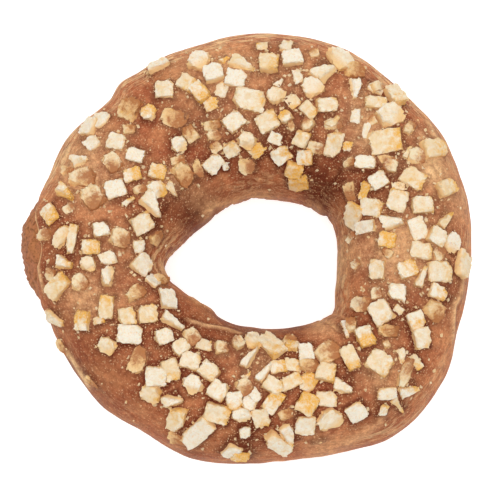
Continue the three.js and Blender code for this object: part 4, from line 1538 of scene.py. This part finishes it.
    def scatter_tree(self) -> ShapeTree:
        """Builds the tree that puts a chopped shape on each seat, square to the icing and sunk in it.

        Returns:
            The tree.
        """
        form = ShapeTree("scatter_nuts", {
            "Pieces": "NodeSocketCollection", "Chip Size": self.chip_size * MM,
            "Chip Depth": self.chip_depth * MM, "Seed": self.chip_seed, "Material": "NodeSocketMaterial"})
        facing, size, lean = (
            form.add(ATTRIBUTE, {"Name": name}, data_type="FLOAT_VECTOR")
            for name in ("facing", "size", "lean"))
        cut, sink = (form.add(ATTRIBUTE, {"Name": name}, data_type="FLOAT") for name in ("cut", "sink"))
        tall = form.add("ShaderNodeSeparateXYZ", {0: size}).outputs["Z"]
        half = form.add(MATH, {0: tall, 1: 0.5}, operation="MULTIPLY")
        proud = form.add(MATH, {0: half, 1: sink}, operation="SUBTRACT")
        offset = form.add("ShaderNodeVectorMath", {0: facing, "Scale": proud}, operation="SCALE")
        seats = form.add("GeometryNodeSetPosition", {"Geometry": form.given["Geometry"], "Offset": offset})
        upright = form.add("FunctionNodeAlignRotationToVector", {"Vector": facing}, axis="Z")
        leaning = form.add("FunctionNodeEulerToRotation", {"Euler": lean})
        turned = form.add("FunctionNodeRotateRotation", {
            "Rotation": upright, "Rotate By": leaning}, rotation_space="LOCAL")
        shapes = form.add("GeometryNodeCollectionInfo", {
            "Collection": form.given["Pieces"], "Separate Children": True, "Reset Children": True})
        nuts = form.add("GeometryNodeInstanceOnPoints", {
            "Points": seats, "Instance": shapes, "Pick Instance": True, "Instance Index": cut,
            "Rotation": turned, "Scale": size})
        real = form.add("GeometryNodeRealizeInstances", {"Geometry": nuts})
        scale = form.add(MATH, {0: 1.0, 1: form.given["Chip Size"]}, operation="DIVIDE")
        place = form.add("GeometryNodeInputPosition")
        inputs = {"Vector": place, "W": form.given["Seed"], "Scale": scale, "Detail": 1.0}
        noise = form.add(NOISE, inputs, noise_dimensions="4D").outputs["Color"]
        around = form.add("ShaderNodeVectorMath", {0: noise, 1: (0.5, 0.5, 0.5)}, operation="SUBTRACT")
        depth = form.given["Chip Depth"]
        offset = form.add("ShaderNodeVectorMath", {0: around, "Scale": depth}, operation="SCALE")
        form.finish(form.add("GeometryNodeSetPosition", {"Geometry": real, "Offset": offset}))
        return form


@dataclass
class ChoppedCuts:
    """A few shapes of unit size for each way that the chopper leaves a nut."""

    seed: int = 77
    seed_step: int = 31
    variants: int = 4
    tone_steps: int = 97
    uneven: Pair = (0.86, 0.22)
    askew: Pair = (-0.15, 0.3)
    off_measure: Pair = (0.94, 0.14)
    edge_lengths: tuple[float, ...] = (0.3, 0.3, 0.16)
    ragged_edge: float = 0.055
    rough_face: float = 0.012
    edge_angle: float = 0.5
    roundness: float = 9.0
    sharp_deg: float = 36.0

    def number(self, nut: Nut) -> int:
        """Gives the number of the shape that a nut takes."""
        return nut.cut.value * self.variants + int(nut.tone * self.tone_steps) % self.variants

    def build(self) -> Collection:
        """Makes the shapes in a collection of their own.

        Returns:
            The collection, in the order of the cuts, each cut's variants side by side.
        """
        shapes = bpy.data.collections.new("chopped_cuts")
        for cut in NutCut:
            for variant in range(self.variants):
                number = cut.value * self.variants + variant
                mesh = self.shape(cut, Draw(self.seed + self.seed_step * number))
                shapes.objects.link(bpy.data.objects.new(f"cut_{number:02d}", mesh))
        return shapes

    def chop(self, block: bmesh.types.BMesh, out: Vector, distance: float) -> None:
        """Cuts a corner off a block and closes the cut.

        Args:
            block: the block.
            out: the way that the new face looks.
            distance: how far it lies from the middle.
        """
        whole = block.verts[:] + block.edges[:] + block.faces[:]
        halved = bmesh.ops.bisect_plane(
            block, geom=whole, plane_co=out * distance, plane_no=out, clear_outer=True)
        rim = [part for part in halved["geom_cut"] if isinstance(part, bmesh.types.BMEdge)]
        bmesh.ops.holes_fill(block, edges=rim)

    def shape(self, cut: NutCut, draw: Draw) -> Mesh:
        """Chops one block and roughens it, its edges more than its faces.

        Args:
            cut: how it was chopped.
            draw: the row of draws.

        Returns:
            The mesh, within about a unit cube, with its own coordinates kept in it.
        """
        block = bmesh.new()
        bmesh.ops.create_cube(block, size=1.0)
        for corner in block.verts:
            corner.co = [c * draw.between(*self.uneven) for c in corner.co]
        for direction, distance in CHOPS[cut]:
            out = Vector([c + draw.between(*self.askew) for c in direction]).normalized()
            self.chop(block, out, distance * draw.between(*self.off_measure))
        bmesh.ops.triangulate(block, faces=block.faces[:])
        for longest in self.edge_lengths:
            long_edges = [edge for edge in block.edges if edge.calc_length() > longest]
            bmesh.ops.subdivide_edges(block, edges=long_edges, cuts=1)
            bmesh.ops.triangulate(block, faces=block.faces[:])
        edges = [edge for edge in block.edges if edge.calc_face_angle(0.0) > self.edge_angle]
        on_edge = {corner for edge in edges for corner in edge.verts}
        for corner in block.verts:
            depth = self.ragged_edge if corner in on_edge else self.rough_face
            out = sum(abs(2 * c) ** self.roundness for c in corner.co)
            corner.co /= max(out, 1.0) ** (1 / self.roundness)
            corner.co += Vector([depth * (2 * draw.next() - 1) for _ in range(3)])
        bmesh.ops.recalc_face_normals(block, faces=block.faces[:])
        mesh = bpy.data.meshes.new(f"chopped_{cut.name.lower()}")
        block.to_mesh(mesh)
        block.free()
        mesh.shade_smooth()
        mesh.set_sharp_from_angle(angle=math.radians(self.sharp_deg))
        write_vector(mesh, "local", read_points(mesh))
        return mesh


@dataclass(frozen=True)
class CrumbSort:
    """A sort of crumb: its name, how many to a square centimetre, its sizes in millimetres, and its seed."""

    name: str
    per_cm2: float
    smallest: float
    largest: float
    seed: int
    finish: ChoppedNut


@dataclass
class Crumbs:
    """The small stuff between the nuts: crumbs of nut and the dust off the chopper."""

    sorts: tuple[CrumbSort, ...] = rows_of(
        CrumbSort, ("nut_crumbs", 24, 0.25, 0.95, 5, NUT_CRUMB), ("nut_dust", 180, 0.08, 0.26, 9, NUT_MEAL))
    seed: int = 505
    chip_count: int = 5
    chip_side: float = 0.9
    chip_turn: float = 3.1
    flatness: Pair = (0.35, 0.5)
    uneven: Pair = (0.45, 0.65)

    def tree(self) -> ShapeTree:
        """Builds the tree that strews chips over a surface, thicker where it says so.

        Returns:
            The tree.
        """
        form = ShapeTree("strew_crumbs", {
            "Pieces": "NodeSocketCollection", "Density": 50000.0, "Smallest": 0.0003, "Largest": 0.001,
            "Seed": 1, "Material": "NodeSocketMaterial"})
        seed = {"Seed": form.given["Seed"]}
        share = form.add(ATTRIBUTE, {"Name": "crumbs"}, data_type="FLOAT")
        density = form.add(MATH, {0: share, 1: form.given["Density"]}, operation="MULTIPLY")
        spots = form.add("GeometryNodeDistributePointsOnFaces", {
            "Mesh": form.given["Geometry"], "Density": density, **seed})
        turn = form.add("FunctionNodeRandomValue", {
            "Min": (-self.chip_turn,) * 3, "Max": (self.chip_turn,) * 3, **seed}, data_type="FLOAT_VECTOR")
        size = form.add("FunctionNodeRandomValue", {
            "Min": form.given["Smallest"], "Max": form.given["Largest"], **seed}, data_type="FLOAT")
        rotation = form.add("FunctionNodeEulerToRotation", {"Euler": turn})
        shapes = form.add("GeometryNodeCollectionInfo", {
            "Collection": form.given["Pieces"], "Separate Children": True, "Reset Children": True})
        form.finish(form.add("GeometryNodeInstanceOnPoints", {
            "Points": spots, "Instance": shapes, "Pick Instance": True, "Rotation": rotation,
            "Scale": size}))
        return form

    def chips(self) -> Collection:
        """Makes a few chips of unit size, each an uneven block of six faces.

        Returns:
            The collection that holds them.
        """
        draw = Draw(self.seed)
        shapes = bpy.data.collections.new("chips")
        for number in range(self.chip_count):
            chip = bmesh.new()
            bmesh.ops.create_cube(chip, size=self.chip_side)
            flat = draw.between(*self.flatness)
            for corner in chip.verts:
                corner.co = Vector([c * draw.between(*self.uneven) for c in corner.co])
                corner.co.z *= flat
            mesh = bpy.data.meshes.new(f"chip_{number}")
            chip.to_mesh(mesh)
            chip.free()
            write_vector(mesh, "local", read_points(mesh))
            write_number(mesh, "tone", np.full(len(mesh.vertices), draw.next()))
            shapes.objects.link(bpy.data.objects.new(f"chip_{number}", mesh))
        return shapes

    def build(self, coat: Object) -> list[Object]:
        """Strews the crumbs and the dust over the icing.

        Args:
            coat: the icing.

        Returns:
            The finished pieces, one for each sort.
        """
        form, shapes = self.tree(), self.chips()
        return [
            form.run(coat.data.copy(), sort.name, {
                "Pieces": shapes, "Density": sort.per_cm2 * PER_CM2, "Smallest": sort.smallest * MM,
                "Largest": sort.largest * MM, "Seed": sort.seed, "Material": sort.finish.material()})
            for sort in self.sorts]


@dataclass
class Studio:
    """A pale table, soft light from the far side and above, and the camera nearly straight overhead."""

    azimuth: float = 0.0
    elevation: float = 81.0
    distance: float = 0.7
    frame_width: float = 0.1025
    film_width: float = 36.0
    target: Place = (0.0008, -0.0004, 0.014)
    table_half: float = 1.5
    table_height: float = -0.0001
    sky: tuple[float, ...] = (1.0, 0.965, 0.915, 1.0)
    sky_strength: float = 0.36

    def table(self) -> None:
        """Makes the pale table top, a hair under the doughnut's foot so that the two faces don't coincide."""
        mesh = bpy.data.meshes.new("table_top")
        side = self.table_half
        corners = [(x * side, y * side, self.table_height) for x, y in ((-1, -1), (1, -1), (1, 1), (-1, 1))]
        mesh.from_pydata(corners, [], [(0, 1, 2, 3)])
        # A laminate top is even, pale and matt, so that it looks like the plain ground of the photograph.
        mesh.materials.append(Paint("white_laminate").finish(
            Base_Color="#CFCFCF", Roughness=0.6, Emission_Color="#FFFFFF", Emission_Strength=0.7))
        top = show("table_top", mesh)

    def lamp(self, name: str, place: Place, size: float, power: float) -> None:
        """Hangs a square soft light that looks at the doughnut.

        Args:
            name: the light's name.
            place: where it hangs, in metres.
            size: the length of its side, in metres.
            power: its power in watts.
        """
        light = bpy.data.lights.new(name, "AREA")
        light.shape, light.size, light.energy = "SQUARE", size, power
        lamp = show(name, light)
        lamp.location = place
        lamp.rotation_euler = (-Vector(place)).to_track_quat("-Z", "Y").to_euler()

    def light(self) -> None:
        """Lights the scene: a soft sky and two soft boxes."""
        world = bpy.data.worlds.new("soft_room")
        world.use_nodes = True
        sky = world.node_tree.nodes["Background"].inputs
        sky["Color"].default_value, sky["Strength"].default_value = self.sky, self.sky_strength
        bpy.context.scene.world = world
        self.lamp("far_softbox", (0.15, 0.75, 0.75), 0.6, 2.4)
        self.lamp("overhead_softbox", (-0.02, -0.16, 1.2), 0.7, 9.9)

    def camera(self) -> None:
        """Sets the camera at the photograph's angle, framed as the photograph is."""
        lens = bpy.data.cameras.new("camera")
        lens.sensor_width = self.film_width
        lens.lens = self.film_width * self.distance / self.frame_width
        camera = show("camera", lens)
        azimuth, elevation = math.radians(self.azimuth), math.radians(self.elevation)
        level = math.cos(elevation)
        back = Vector((math.sin(azimuth) * level, -math.cos(azimuth) * level, math.sin(elevation)))
        camera.location = Vector(self.target) + back * self.distance
        camera.rotation_mode = "QUATERNION"
        camera.rotation_quaternion = (-back).to_track_quat("-Z", "Y")
        bpy.context.scene.camera = camera

    def build(self) -> None:
        """Builds the table, the lights and the camera."""
        self.table()
        self.light()
        self.camera()
        bpy.context.scene.view_settings.view_transform = "Standard"


def main() -> None:
    """Builds the doughnut from the dough up, then the studio round it."""
    logging.basicConfig(level=logging.INFO, format="%(name)s: %(message)s")
    shape = RingShape()
    form = RingForm(shape)
    dough = DoughRing(form).build()
    icing = IcingCoat(form)
    coat = icing.build()
    topping = NutTopping(shape)
    topping.lay_out()
    topping.seat(coat)
    icing.settle(coat, topping.distances(coat, filmed=False), topping.distances(coat, filmed=True))
    nuts = topping.build()
    crumbs = Crumbs().build(coat)
    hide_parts("dough")
    for piece in (coat, *nuts, *crumbs):
        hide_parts("icing")
    for piece in (dough, coat, *nuts, *crumbs):
        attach(piece, "root")
        LOG.info("%s: %d faces", piece.name, len(piece.data.polygons))
    Studio().build()


if __name__ == "__main__":
    main()
